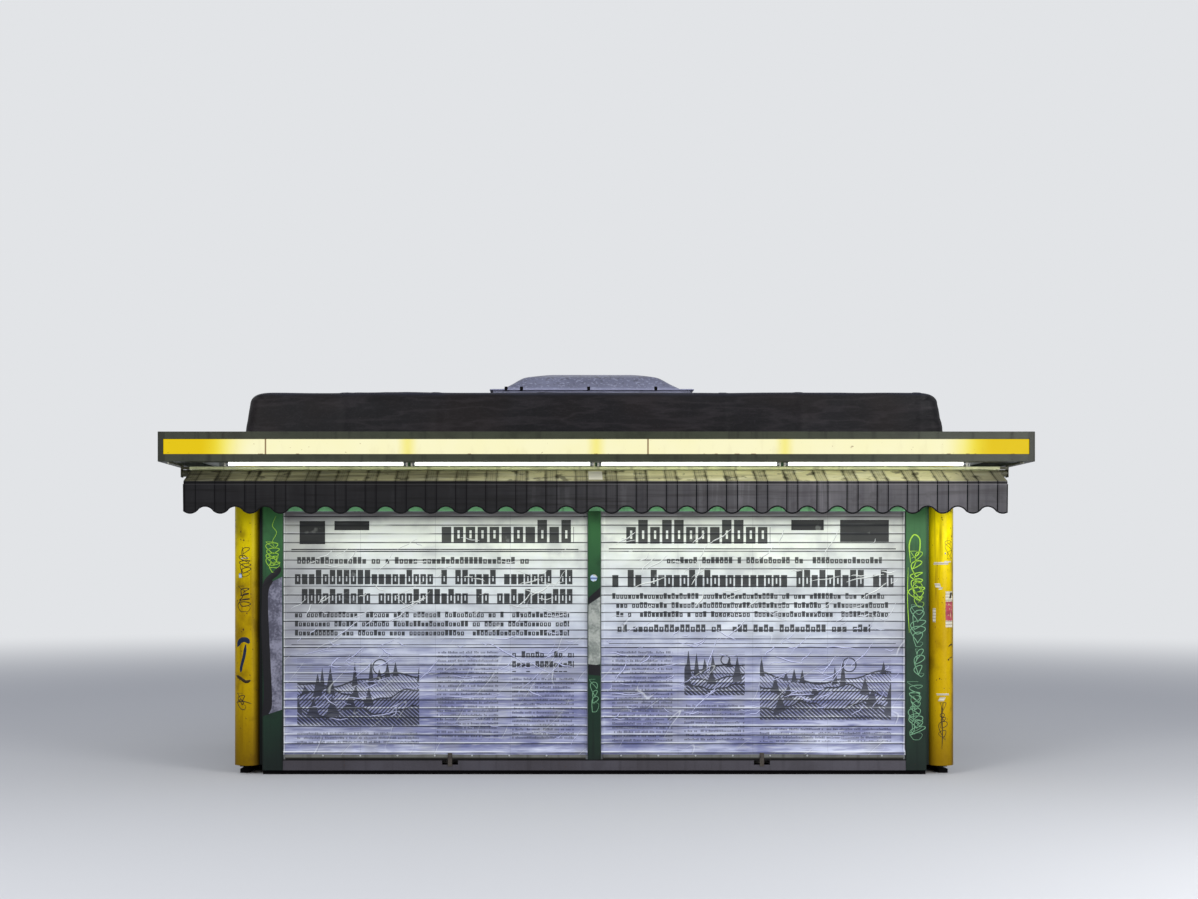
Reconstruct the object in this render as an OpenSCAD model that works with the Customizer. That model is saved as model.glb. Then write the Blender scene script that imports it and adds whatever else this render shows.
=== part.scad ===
// Street kiosk: a steel news stand with round corner columns, roller shutters,
// a lit canopy fascia, a retracted striped awning and a raised roof with a skylight.
// Millimetres. +Z is up, +Y runs from the shop front to the back.
// The origin is on the ground at the middle of the plan.

/* [Body] */
// Width over the corner columns
body_w = 6212; // [5700:1:6800]
// Depth over the corner columns
body_d = 2600; // [2400:1:3000]
// Height of the ceiling's underside above the ground
ceiling_z = 2720; // [2690:1:2900]
// Diameter of a corner column
column_d = 230; // [180:1:260]
// Height of a column's lower end above the ground
column_foot_z = 78; // [45:1:85]
// Shadow gap between a column and the post beside it
column_gap = 24; // [10:1:40]

/* [Wall frame] */
// Width of a corner post's face
post_w = 176; // [120:1:220]
// Depth of a post
post_t = 80; // [70:1:120]
// Width of the mullion between two bays
mullion_w = 110; // [80:1:160]
// Depth of the mullion
mullion_t = 60; // [50:1:78]
// How far the posts stand back from the columns
face_setback = 10; // [4:1:20]
// How far the strip that joins a post to its column stands back from the post's face
strip_recess = 55; // [30:1:60]
// Thickness of that strip
strip_t = 20; // [10:1:24]
// Height of a shutter opening's top above the ground
opening_top_z = 2264; // [2100:1:2400]
// Thickness of the header panels over the openings
header_t = 25; // [15:1:30]
// Thickness of the back wall's panels
panel_t = 30; // [20:1:40]

/* [Base] */
// Height of the skids that carry the base
skid_h = 37; // [25:1:42]
// Width of a skid
skid_w = 80; // [60:1:110]
// How far a skid stands back from the base beam's face
skid_setback = 25; // [10:1:60]
// Height of a base beam
beam_h = 92; // [80:1:120]
// Depth of a base beam
beam_t = 80; // [70:1:120]
// Thickness of a base beam's steel
beam_wall = 5; // [3:1:8]
// How far the beams, headers and bottom bars stand back from the columns
beam_setback = 15; // [10:1:25]
// Thickness of the floor
floor_t = 40; // [20:1:44]

/* [Shutters] */
// Height of one slat
slat_pitch = 75.3; // [60:0.1:100]
// Thickness of a slat
slat_t = 16; // [12:1:20]
// Depth of the groove between two slats
slat_groove = 6; // [3:1:8]
// Height of the groove between two slats
slat_groove_h = 9; // [6:1:14]
// Width of a guide's face
guide_w = 20; // [12:1:40]
// Depth of a guide
guide_t = 40; // [32:1:50]
// How far a guide's face stands in front of the curtain
guide_proud = 8; // [2:1:12]
// Height of a shutter's bottom bar
bar_h = 54; // [40:1:70]
// Depth of a shutter's bottom bar
bar_t = 45; // [42:1:60]
// Gap between the bottom bar and the base beam
bar_gap = 4; // [2:1:10]
// How far a curtain runs up behind its header
curtain_lap = 60; // [30:1:120]

/* [Locks] */
// How far the left lock stands to the right of its bay's middle
lock_left_shift = 126; // [-300:1:300]
// How far the right lock stands to the right of its bay's middle
lock_right_shift = 73; // [-300:1:300]
// Width of a lock strap
strap_w = 37; // [30:1:60]
// Length of a lock strap
strap_len = 115; // [90:1:125]
// Thickness of a lock strap
strap_t = 6; // [4:1:10]
// Diameter of a lock's bolt head
bolt_d = 26; // [18:1:30]
// Thickness of a lock's bolt head
bolt_t = 10; // [6:1:14]
// Width of the cut-out behind a strap
cutout_w = 137; // [100:1:180]
// Height of the cut-out behind a strap
cutout_h = 43; // [30:1:60]

/* [Canopy] */
// How far the canopy reaches past the columns
overhang = 503; // [460:1:700]
// Distance from the ceiling down to the fascia's lower edge
fascia_drop = 70; // [50:1:110]
// Height of the fascia
fascia_h = 247; // [220:1:320]
// Depth of the fascia's light box
fascia_t = 110; // [80:1:130]
// Thickness of the fascia's sheet metal
sheet_t = 4; // [3:1:8]
// Thickness of the fascia's face rails
rail_t = 12; // [8:1:20]
// Height of the upper face rail
rail_top_h = 62; // [40:1:80]
// Height of the lower face rail
rail_low_h = 62; // [40:1:80]
// Width of the face rail's upright at a corner
stile_w = 45; // [35:1:80]
// Thickness of the lit panels
sign_t = 4; // [3:1:6]
// How far a lit panel reaches behind its rails
sign_lap = 12; // [8:1:20]
// Length of one full lit panel
sign_len = 3150; // [2400:1:3600]
// Gap at a joint between two lit panels
sign_joint = 2; // [1:1:6]
// Thickness of the ceiling
ceiling_t = 30; // [20:1:50]
// Thickness of the roof deck
deck_t = 28; // [20:1:40]
// How far the roof deck lies below the fascia's top edge
deck_drop = 12; // [5:1:30]

/* [Lamps] */
// Number of lamps under the canopy's front
lamp_count = 4; // [2:1:4]
// Distance between two lamps
lamp_pitch = 1554; // [1540:1:1620]
// Length of a lamp tube
tube_len = 1500; // [1200:1:1500]
// Diameter of a lamp tube
tube_d = 38; // [26:1:38]
// Drop of the tube's centre below the ceiling
tube_drop = 75; // [72:1:90]
// Width of a lamp's batten
batten_w = 60; // [45:1:70]
// Height of a lamp's batten
batten_h = 48; // [35:1:52]
// Thickness of a lampholder
holder_t = 14; // [10:1:18]
// Width of a lampholder
holder_w = 34; // [28:1:44]
// How far a lampholder reaches below its tube
holder_lip = 4; // [2:1:8]
// Distance from the light box's back to the lamp's centre line
lamp_offset = 44; // [38:1:60]

/* [Awning] */
// How far the awning cloth reaches past the columns at each end
cloth_lap = 348; // [200:1:380]
// How far the awning's end plates stand past the columns
awning_lap = 424; // [400:1:440]
// Distance from the columns to the roller's centre line
roller_offset = 40; // [38:1:60]
// Distance from the ceiling down to the roller's centre line
roller_drop = 135; // [130:1:160]
// Diameter of the roller with its rolled cloth
roller_d = 60; // [50:1:66]
// Distance from the roller's centre line to the front bar's
front_bar_reach = 222; // [180:1:260]
// Distance from the ceiling down to the front bar's centre line
front_bar_drop = 228; // [220:1:250]
// Diameter of the front bar
front_bar_d = 35; // [30:1:45]
// Thickness of the awning cloth
cloth_t = 3; // [2:1:5]
// Length of the valance below the front bar's centre line
valance_h = 261; // [180:1:320]
// Distance between two scallops
scallop_pitch = 252.5; // [200:0.5:320]
// Depth of a scallop
scallop_h = 67; // [40:1:90]
// Distance from the cloth's end to its last scallop's lowest point
scallop_margin = 36; // [20:1:80]
// Height of the hood over the roller
hood_h = 24; // [16:1:26]
// Depth of the hood over the roller
hood_t = 72; // [66:1:76]
// Thickness of the hood and the plates that carry it
hood_plate = 6; // [4:1:8]
// Clearance between the hood and the columns behind it
column_clearance = 4; // [2:1:6]
// Width of the bar that ties an end plate to the front fascia
tie_w = 25; // [18:1:40]
// Thickness of that bar
tie_t = 12; // [6:1:16]
// Number of plates that hang the hood from the ceiling
hanger_count = 5; // [3:1:7]
// Width of an arm
arm_w = 24; // [18:1:30]
// Height of an arm
arm_h = 36; // [24:1:40]
// How far an arm's shoulder stands past the columns
shoulder_lap = 94; // [60:1:200]
// Distance from an arm's shoulder to its elbow
arm_len = 1400; // [1000:1:1700]
// Distance from an arm's shoulder back to its shoe on the front bar
shoe_inset = 100; // [60:1:200]
// Width of the shoe
shoe_w = 80; // [60:1:110]
// Depth of the shoe
shoe_t = 19; // [17:1:30]
// Width of the shoulder's bracket
bracket_w = 40; // [30:1:60]

/* [Roof] */
// How far the raised roof's ends stand in from the columns
hood_end_setback = 106; // [0:1:300]
// How far the raised roof's long sides stand in from the columns
hood_side_setback = 0; // [0:1:200]
// Height of the raised roof above the roof deck
hood_roof_h = 409; // [300:1:500]
// Lean of the raised roof's sides from foot to top
hood_lean = 30; // [10:1:60]
// Rounding of the raised roof's upper edge
hood_round = 95; // [60:1:140]
// Rounding of the raised roof's corners in plan
hood_corner = 150; // [80:1:220]
// Thickness of the raised roof's covering and boards
hood_skin = 40; // [25:1:50]

/* [Skylight] */
// Width of the skylight's kerb
kerb_w = 1800; // [1500:1:2000]
// Depth of the skylight's kerb
kerb_d = 1100; // [900:1:1200]
// Height of the kerb above the raised roof
kerb_h = 100; // [60:1:140]
// Distance from the kerb's face to the well inside it
kerb_t = 75; // [60:1:120]
// Thickness of the well's lining
lining_t = 20; // [12:1:30]
// How far the dome's flange reaches past the kerb
flange_lap = 30; // [15:1:50]
// Thickness of the dome's flange
flange_t = 10; // [6:1:16]
// Distance from the kerb's face in to the dome's foot
dome_in = 60; // [30:1:100]
// Height of the dome above its flange
dome_h = 196; // [120:1:260]
// How far the dome's sides lean in from its rim to its flat crown
dome_lean = 413; // [250:1:450]
// Rounding of the dome's corners in plan
dome_corner = 58; // [30:1:100]
// Thickness of the dome
dome_t = 8; // [5:1:14]

/* [Hidden] */
// Sides of a full circle, and of a round corner in a hulled shape
$fn = 64;
soft_fn = 32;
// How fast the dome's sides lean in: 1 is an ellipse, and more is flatter
dome_power = 1.8;
// Clearance where a flat piece meets a round one
seat_gap = 0.2;
// How far a bar runs into the piece that it is welded to
weld = 4;
// Extra length of a cutting shape past the face that it cuts
past = 1;

// Half the body's width and depth, and the column's radius
body_x = body_w / 2;
body_y = body_d / 2;
column_r = column_d / 2;
// Heights that hang from the ceiling: the fascia's lower edge, the roller and the front bar
fascia_z = ceiling_z - fascia_drop;
roller_z = ceiling_z - roller_drop;
front_bar_z = ceiling_z - front_bar_drop;
// Widths of the awning's cloth and of its frame
cloth_w = body_w + 2 * cloth_lap;
awning_w = body_w + 2 * awning_lap;
// Distance from the middle to an arm's shoulder
shoulder_x = body_x + shoulder_lap;
// Half the canopy's width and depth
canopy_x = body_x + overhang;
canopy_y = body_y + overhang;

// Heights of the base beam's top, a bottom bar's foot and top, and the fascia's top
beam_z = skid_h + beam_h;
bar_z = beam_z + bar_gap;
curtain_z = bar_z + bar_h;
fascia_top_z = fascia_z + fascia_h;
deck_top_z = fascia_top_z - deck_drop;
hood_roof_z = deck_top_z + hood_roof_h;
// Plan of the raised roof at its foot
hood_roof_w = body_w - 2 * hood_end_setback;
hood_roof_d = body_d - 2 * hood_side_setback;

// Distances from a wall's outer line to a skid's face, the shutter's face and a guide's face
skid_face = beam_setback + skid_setback;
curtain_setback = beam_setback + header_t;
guide_setback = curtain_setback - guide_proud;

// Heights of a skylight's well, flange and dome
kerb_z = hood_roof_z + kerb_h;
dome_z = kerb_z + flange_t;
well_w = kerb_w - 2 * kerb_t + 2 * lining_t;
well_d = kerb_d - 2 * kerb_t + 2 * lining_t;

// Centre lines of the roller and the front bar, as distances from the body's middle
roller_y = -(body_y + roller_offset);
bar_y = roller_y - front_bar_reach;
roller_r = roller_d / 2;
bar_r = front_bar_d / 2;
// Slope of the cloth where it lies on the roller and on the front bar, in degrees below level
bar_dist = norm([front_bar_reach, roller_z - front_bar_z]);
cloth_slope = atan2(roller_z - front_bar_z, front_bar_reach) - asin((roller_r - bar_r) / bar_dist);
// Centre line of the lamps
lamp_y = -(canopy_y - fascia_t - lamp_offset);
lamp_z = ceiling_z - tube_drop;
// Length of a lamp's batten, whose ends carry the lampholders
batten_len = tube_len + 2 * holder_t;

// Colours
green = [0.11, 0.30, 0.19];
yellow = [0.85, 0.66, 0.03];
base_grey = [0.33, 0.32, 0.33];
slat_grey = [0.62, 0.63, 0.66];
frame_grey = [0.17, 0.21, 0.22];
sign_yellow = [0.98, 0.86, 0.25];
lamp_white = [0.97, 0.98, 0.95];
cloth_grey = [0.52, 0.50, 0.49];
metal = [0.66, 0.67, 0.68];
roof_brown = [0.13, 0.11, 0.10];
dome_grey = [0.62, 0.62, 0.63];

// Distances along a wall from its middle to a post's outer and inner edge,
// where span is half the wall's length over the columns
function post_out(span) = span - column_d - column_gap;
function post_in(span) = post_out(span) - post_w;

// Edges of the front's right bay inside its guides, and half of a side bay
bay_low = mullion_w / 2 + guide_w;
bay_high = post_in(body_x) - guide_w;
side_bay = post_in(body_y) - guide_w;
// The locks' places along the front, from the middles of the two bays
bay_middle = (bay_low + bay_high) / 2;
lock_places = [-bay_middle + lock_left_shift, bay_middle + lock_right_shift];

// A box from its lowest corner to its highest
module block(low, high) {
  translate(low) cube(high - low);
}

// Both ends of a wall
module both() {
  children();
  mirror([1, 0, 0]) children();
}

// A piece drawn for the front, turned to face the back or a side
module facing(side) {
  turn = side == "back" ? 180 : side == "right" ? 90 : side == "left" ? -90 : 0;
  rotate([0, 0, turn]) children();
}

// One skid under the front of a wall: its outer face is depth from the middle
module skid(half_len, depth) {
  color("black")
    block([-half_len, -depth, 0], [half_len, -depth + skid_w, skid_h]);
}

module skids_long() {
  for (side = ["front", "back"])
    facing(side) skid(post_out(body_x), body_y - skid_face);
}

module skids_cross() {
  for (side = ["left", "right"])
    facing(side) skid(body_y - skid_face - skid_w - bar_gap, body_x - skid_face);
}

// A channel between two posts, open towards the inside
module base_beam(span, depth) {
  half = post_in(span);
  face = -(depth - beam_setback);
  difference() {
    block([-half, face, skid_h], [half, face + beam_t, beam_z]);
    block([-half - past, face + beam_wall, skid_h + beam_wall],
      [half + past, face + beam_t + past, beam_z - beam_wall]);
  }
}

module base_beam_front() {
  face = -(body_y - beam_setback);
  color(base_grey) difference() {
    base_beam(body_x, body_y);
    for (x = lock_places)
      block([x - cutout_w / 2, face - past, beam_z - cutout_h],
        [x + cutout_w / 2, face + beam_wall + past, beam_z - beam_wall]);
  }
}

module base_beam_back() {
  color(base_grey) facing("back") base_beam(body_x, body_y);
}

module base_beams_side() {
  color(base_grey) for (side = ["left", "right"])
    facing(side) base_beam(body_y, body_x);
}

// The places of the four columns
module at_column(x_sign, y_sign) {
  translate([x_sign * (body_x - column_r), y_sign * (body_y - column_r), 0]) children();
}

// The floor fills the base beams and is notched round the columns
module floor_deck() {
  half_x = body_x - beam_setback - beam_t;
  half_y = body_y - beam_setback - beam_t;
  color("dimgray") difference() {
    block([-half_x, -half_y, beam_z - floor_t], [half_x, half_y, beam_z]);
    for (x_sign = [-1, 1], y_sign = [-1, 1])
      at_column(x_sign, y_sign)
        translate([0, 0, column_foot_z]) cylinder(h = beam_z, r = column_r + seat_gap);
  }
}

module column(x_sign, y_sign) {
  color(yellow) at_column(x_sign, y_sign)
    translate([0, 0, column_foot_z]) cylinder(h = ceiling_z - column_foot_z, r = column_r);
}

// A corner post with the recessed strip that joins it to its column
module post(span, depth) {
  face = -(depth - face_setback);
  strip_face = face + strip_recess;
  block([post_in(span), face, skid_h], [post_out(span), face + post_t, ceiling_z]);
  difference() {
    block([post_out(span), strip_face, column_foot_z],
      [span - column_r, strip_face + strip_t, ceiling_z]);
    translate([span - column_r, -(depth - column_r), column_foot_z - past])
      cylinder(h = ceiling_z, r = column_r + seat_gap);
  }
}

module mullion(depth) {
  face = -(depth - face_setback);
  block([-mullion_w / 2, face, beam_z], [mullion_w / 2, face + mullion_t, opening_top_z]);
}

module posts_front() {
  color(green) both() post(body_x, body_y);
}

module mullion_front() {
  color(green) mullion(body_y);
}

module posts_back() {
  color(green) facing("back") {
    both() post(body_x, body_y);
    mullion(body_y);
  }
}

module posts_side() {
  color(green) for (side = ["left", "right"])
    facing(side) both() post(body_y, body_x);
}

// The panel between the posts over an opening
module header(span, depth) {
  half = post_in(span);
  face = -(depth - beam_setback);
  block([-half, face, opening_top_z], [half, face + header_t, ceiling_z]);
}

module headers_side() {
  color(green) for (side = ["left", "right"])
    facing(side) header(body_y, body_x);
}

// Outline of a curtain, across (y) and up (z): flat slats with a groove between each two.
// The face is at 0 and the back at slat_t.
function curtain_outline(z_low, z_high) = let (
    grooves = [for (z = [z_low + slat_pitch : slat_pitch : z_high - slat_groove_h]) z],
    front = [for (z = grooves) each [[0, z - slat_groove_h / 2], [slat_groove, z - slat_groove_h / 4],
      [slat_groove, z + slat_groove_h / 4], [0, z + slat_groove_h / 2]]])
  concat([[slat_t, z_low], [0, z_low]], front, [[0, z_high], [slat_t, z_high]]);

// A curtain of slats between x_low and x_high in the wall whose outer line is depth away
module curtain(x_low, x_high, depth) {
  color(slat_grey) translate([x_low, -(depth - curtain_setback), 0])
    rotate([90, 0, 90]) linear_extrude(x_high - x_low)
      polygon(curtain_outline(curtain_z, opening_top_z + curtain_lap));
}

// The bar along a curtain's foot
module bottom_bar(x_low, x_high, depth) {
  face = -(depth - beam_setback);
  color(base_grey) block([x_low, face, bar_z], [x_high, face + bar_t, curtain_z]);
}

module shutter_side(side) {
  facing(side) {
    curtain(-side_bay, side_bay, body_x);
    bottom_bar(-side_bay, side_bay, body_x);
  }
}

// One upright guide, with its outer edge at x
module guide(x, depth) {
  face = -(depth - guide_setback);
  block([x - guide_w, face, beam_z], [x, face + guide_t, opening_top_z]);
}

module shutter_guides() {
  color("lightgray") {
    both() {
      guide(post_in(body_x), body_y);
      guide(bay_low, body_y);
    }
    for (side = ["left", "right"])
      facing(side) both() guide(post_in(body_y), body_x);
  }
}

// A strap that hangs from each bottom bar over the cut-out in the base beam
module lock_straps() {
  face = -(body_y - beam_setback);
  color("gray") for (x = lock_places) {
    block([x - strap_w / 2, face - strap_t, curtain_z - strap_len],
      [x + strap_w / 2, face, curtain_z]);
    translate([x, face - strap_t, bar_z + bar_h / 2])
      rotate([90, 0, 0]) cylinder(h = bolt_t, d = bolt_d);
  }
}

// A back wall panel fills one bay behind the frame's face
module back_panel() {
  face = -(body_y - beam_setback);
  color(green) block([mullion_w / 2, face, beam_z],
    [post_in(body_x), face + panel_t, opening_top_z]);
}

// The hole that the skylight's well needs in a flat piece
module well_hole(z_low, z_high) {
  block([-well_w / 2, -well_d / 2, z_low - past], [well_w / 2, well_d / 2, z_high + past]);
}

// A slab inside the fascia
module canopy_slab(z_low, z_high) {
  x = canopy_x - fascia_t;
  y = canopy_y - fascia_t;
  difference() {
    block([-x, -y, z_low], [x, y, z_high]);
    well_hole(z_low, z_high);
  }
}

module ceiling() {
  color("whitesmoke") canopy_slab(ceiling_z, ceiling_z + ceiling_t);
}

module roof_deck() {
  color("dimgray") canopy_slab(deck_top_z - deck_t, deck_top_z);
}

// One side of the fascia: a light box with mitred ends and a long window in its face
module fascia(span, depth) {
  inner = span - fascia_t;
  color(frame_grey) difference() {
    translate([0, 0, fascia_z]) linear_extrude(fascia_h)
      polygon([[-span, -depth], [span, -depth], [inner, -depth + fascia_t], [-inner, -depth + fascia_t]]);
    block([-span, -depth + rail_t, fascia_z + sheet_t],
      [span, -depth + fascia_t - sheet_t, fascia_top_z - sheet_t]);
    block([-span + stile_w, -depth - past, fascia_z + rail_low_h],
      [span - stile_w, -depth + rail_t + past, fascia_top_z - rail_top_h]);
  }
}

// The lit panels behind one side's window: full sheets from the right end, then a short one
module sign_panel(span, depth) {
  end = span - stile_w + sign_lap;
  count = ceil(2 * end / sign_len);
  color(sign_yellow) for (i = [0 : count - 1]) {
    high = end - i * sign_len - (i == 0 ? 0 : sign_joint / 2);
    low = i == count - 1 ? -end : end - (i + 1) * sign_len + sign_joint / 2;
    block([low, -depth + rail_t, fascia_z + rail_low_h - sign_lap],
      [high, -depth + rail_t + sign_t, fascia_top_z - rail_top_h + sign_lap]);
  }
}

module sign_panels_side() {
  for (side = ["left", "right"])
    facing(side) sign_panel(canopy_y, canopy_x);
}

// The places of the lamps' centres under the front of the canopy
module at_lamps() {
  for (i = [0 : lamp_count - 1])
    translate([(i - (lamp_count - 1) / 2) * lamp_pitch, lamp_y, 0]) children();
}

module lamp_battens() {
  color("white") at_lamps() {
    block([-batten_len / 2, -batten_w / 2, ceiling_z - batten_h],
      [batten_len / 2, batten_w / 2, ceiling_z]);
    both() block([tube_len / 2, -holder_w / 2, lamp_z - tube_d / 2 - holder_lip],
      [tube_len / 2 + holder_t, holder_w / 2, ceiling_z - batten_h]);
  }
}

module lamp_tubes() {
  color(lamp_white) at_lamps() translate([-tube_len / 2, 0, lamp_z])
    rotate([0, 90, 0]) cylinder(h = tube_len, d = tube_d);
}

// The hood over the roller, the plates that carry it, the roller,
// and the bar that ties each end plate to the front fascia
module awning_frame() {
  back = roller_y + roller_offset - column_clearance;
  front = back - hood_t;
  top = roller_z + roller_r + seat_gap + hood_h;
  end = awning_w / 2;
  color(metal) {
    block([-end, front, top - hood_plate], [end, back, top]);
    block([-end, front, top - hood_h], [end, front + hood_plate, top]);
    for (i = [0 : hanger_count - 1])
      let (x = (i - (hanger_count - 1) / 2) * 2 * body_x / hanger_count)
        block([x - hood_plate / 2, front, top], [x + hood_plate / 2, back, ceiling_z]);
    both() {
      block([end - hood_plate, front, roller_z - roller_r - hood_plate], [end, back, fascia_z]);
      block([end - tie_w, -(canopy_y - fascia_t / 2), fascia_z - tie_t], [end, front + past, fascia_z]);
    }
    translate([-end + hood_plate, roller_y, roller_z])
      rotate([0, 90, 0]) cylinder(h = awning_w - 2 * hood_plate, r = roller_r);
  }
}

// A bar of the arm's section from one point to another
module arm_bar(from, to) {
  run = to - from;
  translate([from.x, from.y, front_bar_z - arm_h / 2])
    rotate([0, 0, atan2(run.y, run.x)])
      translate([0, -arm_w / 2, 0]) cube([norm(run), arm_w, arm_h]);
}

// A folded arm: a bracket from the ceiling, two bars with an elbow, and a shoe at the front bar
module awning_arm() {
  bracket_y = roller_y + roller_offset;
  low = front_bar_z - arm_h / 2;
  shoe_y = bar_y + bar_r + seat_gap;
  shoulder = [shoulder_x, roller_y - roller_r - arm_w];
  wrist = [shoulder_x - shoe_inset, shoe_y + shoe_t - weld];
  elbow = [shoulder_x - arm_len, (shoulder.y + wrist.y) / 2];
  bracket_low = shoulder_x - bracket_w / 2;
  bracket_high = shoulder_x + bracket_w / 2;
  block([bracket_low, bracket_y, low], [bracket_high, bracket_y + bracket_w, ceiling_z]);
  block([bracket_low, shoulder.y, low], [bracket_high, bracket_y + bracket_w, low + arm_h]);
  for (pin = [shoulder, elbow])
    translate([pin.x, pin.y, low]) cylinder(h = arm_h, d = 2 * arm_w);
  arm_bar(elbow, shoulder);
  arm_bar(elbow, wrist);
  block([wrist.x - shoe_w / 2, shoe_y, low + weld / 2],
    [wrist.x + shoe_w / 2, shoe_y + shoe_t, low + arm_h - weld / 2]);
}

module awning_arms() {
  color(metal) both() awning_arm();
}

module awning_front_bar() {
  color(metal) translate([-cloth_w / 2, bar_y, front_bar_z])
    rotate([0, 90, 0]) cylinder(h = cloth_w, r = bar_r);
}

// A point on a circle round the roller or the front bar, where the angle is measured
// at the centre from straight up towards the front
function round_point(centre_y, centre_z, radius, angle) =
  [centre_y - radius * sin(angle), centre_z + radius * cos(angle)];

// The cloth's section from the roller over the front bar, at a distance from both
function cloth_line(gap) = concat(
  [round_point(roller_y, roller_z, roller_r + gap, cloth_slope)],
  [for (i = [0 : 6]) round_point(bar_y, front_bar_z, bar_r + gap, cloth_slope + i * (90 - cloth_slope) / 6)]);

function reversed(list) = [for (i = [len(list) - 1 : -1 : 0]) list[i]];

// Height of the valance's lower edge at a place along it
function valance_edge(x) = front_bar_z - valance_h
  + scallop_h / 2 * (1 - cos(360 * (x - cloth_w / 2 + scallop_margin) / scallop_pitch));

module awning_cloth() {
  step = scallop_pitch / 10;
  front = bar_y - bar_r - seat_gap;
  half = cloth_w / 2;
  edge = [for (x = [-half : step : half - step / 2]) [x, valance_edge(x)]];
  color(cloth_grey) {
    translate([-half, 0, 0]) rotate([90, 0, 90]) linear_extrude(cloth_w)
      polygon(concat(cloth_line(seat_gap), reversed(cloth_line(seat_gap + cloth_t))));
    translate([0, front, 0]) rotate([90, 0, 0]) linear_extrude(cloth_t)
      polygon(concat(edge, [[half, valance_edge(half)], [half, front_bar_z], [-half, front_bar_z]]));
  }
}

// A rectangle with round corners, in plan
module round_plan(width, depth, radius) {
  for (x_sign = [-1, 1], y_sign = [-1, 1])
    translate([x_sign * (width / 2 - radius), y_sign * (depth / 2 - radius)])
      circle(r = radius, $fn = soft_fn);
}

// The raised roof's form: the sides lean in and turn over in a round edge.
// A share of 0 is its foot and 1 its top.
function hood_inset(share) = hood_lean * share + hood_round * (1 - sqrt(1 - share * share));

module hood_form(inset) {
  height = hood_roof_z - deck_top_z - inset;
  hull() for (share = [0, 0.4, 0.6, 0.75, 0.87, 0.95, 1])
    translate([0, 0, deck_top_z + height * share - (share > 0 ? past : 0)])
      linear_extrude(past) round_plan(hood_roof_w - 2 * (inset + hood_inset(share)),
        hood_roof_d - 2 * (inset + hood_inset(share)), hood_corner);
}

module roof_hood() {
  color(roof_brown) difference() {
    hood_form(0);
    translate([0, 0, -past]) hood_form(hood_skin);
    well_hole(deck_top_z, hood_roof_z);
  }
}

// The kerb round the skylight, and the lining of the well that leads down to the ceiling
module skylight_well() {
  color("silver") difference() {
    union() {
      block([-well_w / 2, -well_d / 2, ceiling_z], [well_w / 2, well_d / 2, kerb_z]);
      block([-kerb_w / 2, -kerb_d / 2, hood_roof_z], [kerb_w / 2, kerb_d / 2, kerb_z]);
    }
    block([-well_w / 2 + lining_t, -well_d / 2 + lining_t, ceiling_z - past],
      [well_w / 2 - lining_t, well_d / 2 - lining_t, kerb_z + past]);
  }
}

// The dome's plan, at a distance in from its foot
module dome_plan(inset) {
  round_plan(kerb_w - 2 * (dome_in + inset), kerb_d - 2 * (dome_in + inset), dome_corner);
}

// The dome's form, from its foot (0 degrees) to its crown (90)
module dome_form(inset) {
  hull() for (rise = [0, 12, 26, 42, 58, 74, 90])
    translate([0, 0, dome_z + (dome_h - inset) * sin(rise) - (rise > 0 ? past : 0)])
      linear_extrude(past) dome_plan(inset + dome_lean * (1 - pow(cos(rise), dome_power)));
}

module skylight_dome() {
  flange = [kerb_w + 2 * flange_lap, kerb_d + 2 * flange_lap];
  color(dome_grey) difference() {
    union() {
      block([-flange.x / 2, -flange.y / 2, kerb_z], [flange.x / 2, flange.y / 2, dome_z]);
      dome_form(0);
    }
    translate([0, 0, -past]) dome_form(dome_t);
    translate([0, 0, kerb_z - past]) linear_extrude(flange_t + past) hull() dome_plan(dome_t);
  }
}

skids_long();
skids_cross();
base_beam_front();
base_beam_back();
base_beams_side();
floor_deck();
column(-1, -1);  // column_front_left
column(1, -1);  // column_front_right
column(-1, 1);  // column_back_left
column(1, 1);  // column_back_right
posts_front();
posts_back();
posts_side();
mullion_front();
color(green) header(body_x, body_y);  // header_front
color(green) facing("back") header(body_x, body_y);  // header_back
headers_side();
curtain(-bay_high, -bay_low, body_y);  // shutter_front_left
curtain(bay_low, bay_high, body_y);  // shutter_front_right
shutter_side("left");  // shutter_side_left
shutter_side("right");  // shutter_side_right
shutter_guides();
bottom_bar(-bay_high, -bay_low, body_y);  // bottom_bar_left
bottom_bar(bay_low, bay_high, body_y);  // bottom_bar_right
lock_straps();
facing("back") back_panel();  // back_panel_left
facing("back") mirror([1, 0, 0]) back_panel();  // back_panel_right
ceiling();
roof_deck();
fascia(canopy_x, canopy_y);  // fascia_front
facing("back") fascia(canopy_x, canopy_y);  // fascia_back
facing("left") fascia(canopy_y, canopy_x);  // fascia_left
facing("right") fascia(canopy_y, canopy_x);  // fascia_right
sign_panel(canopy_x, canopy_y);  // sign_panel_front
facing("back") sign_panel(canopy_x, canopy_y);  // sign_panel_back
sign_panels_side();
lamp_battens();
lamp_tubes();
awning_frame();
awning_arms();
awning_front_bar();
awning_cloth();
roof_hood();
skylight_well();
skylight_dome();
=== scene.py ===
# %% [markdown]
# # A street kiosk with its shutters down
#
# A steel kiosk stands on skids: round yellow corner columns, green posts, roller shutters under pasted
# posters, a lit canopy, a striped awning and a dark hat with a skylight. Its construction is packed as
# a fixed frame. This lesson gives each part the shape and finish that the eye expects. Every shape is
# a surface worked out with numpy, and every finish is shader maths.

# %% Load the fixed frame
import math

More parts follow.
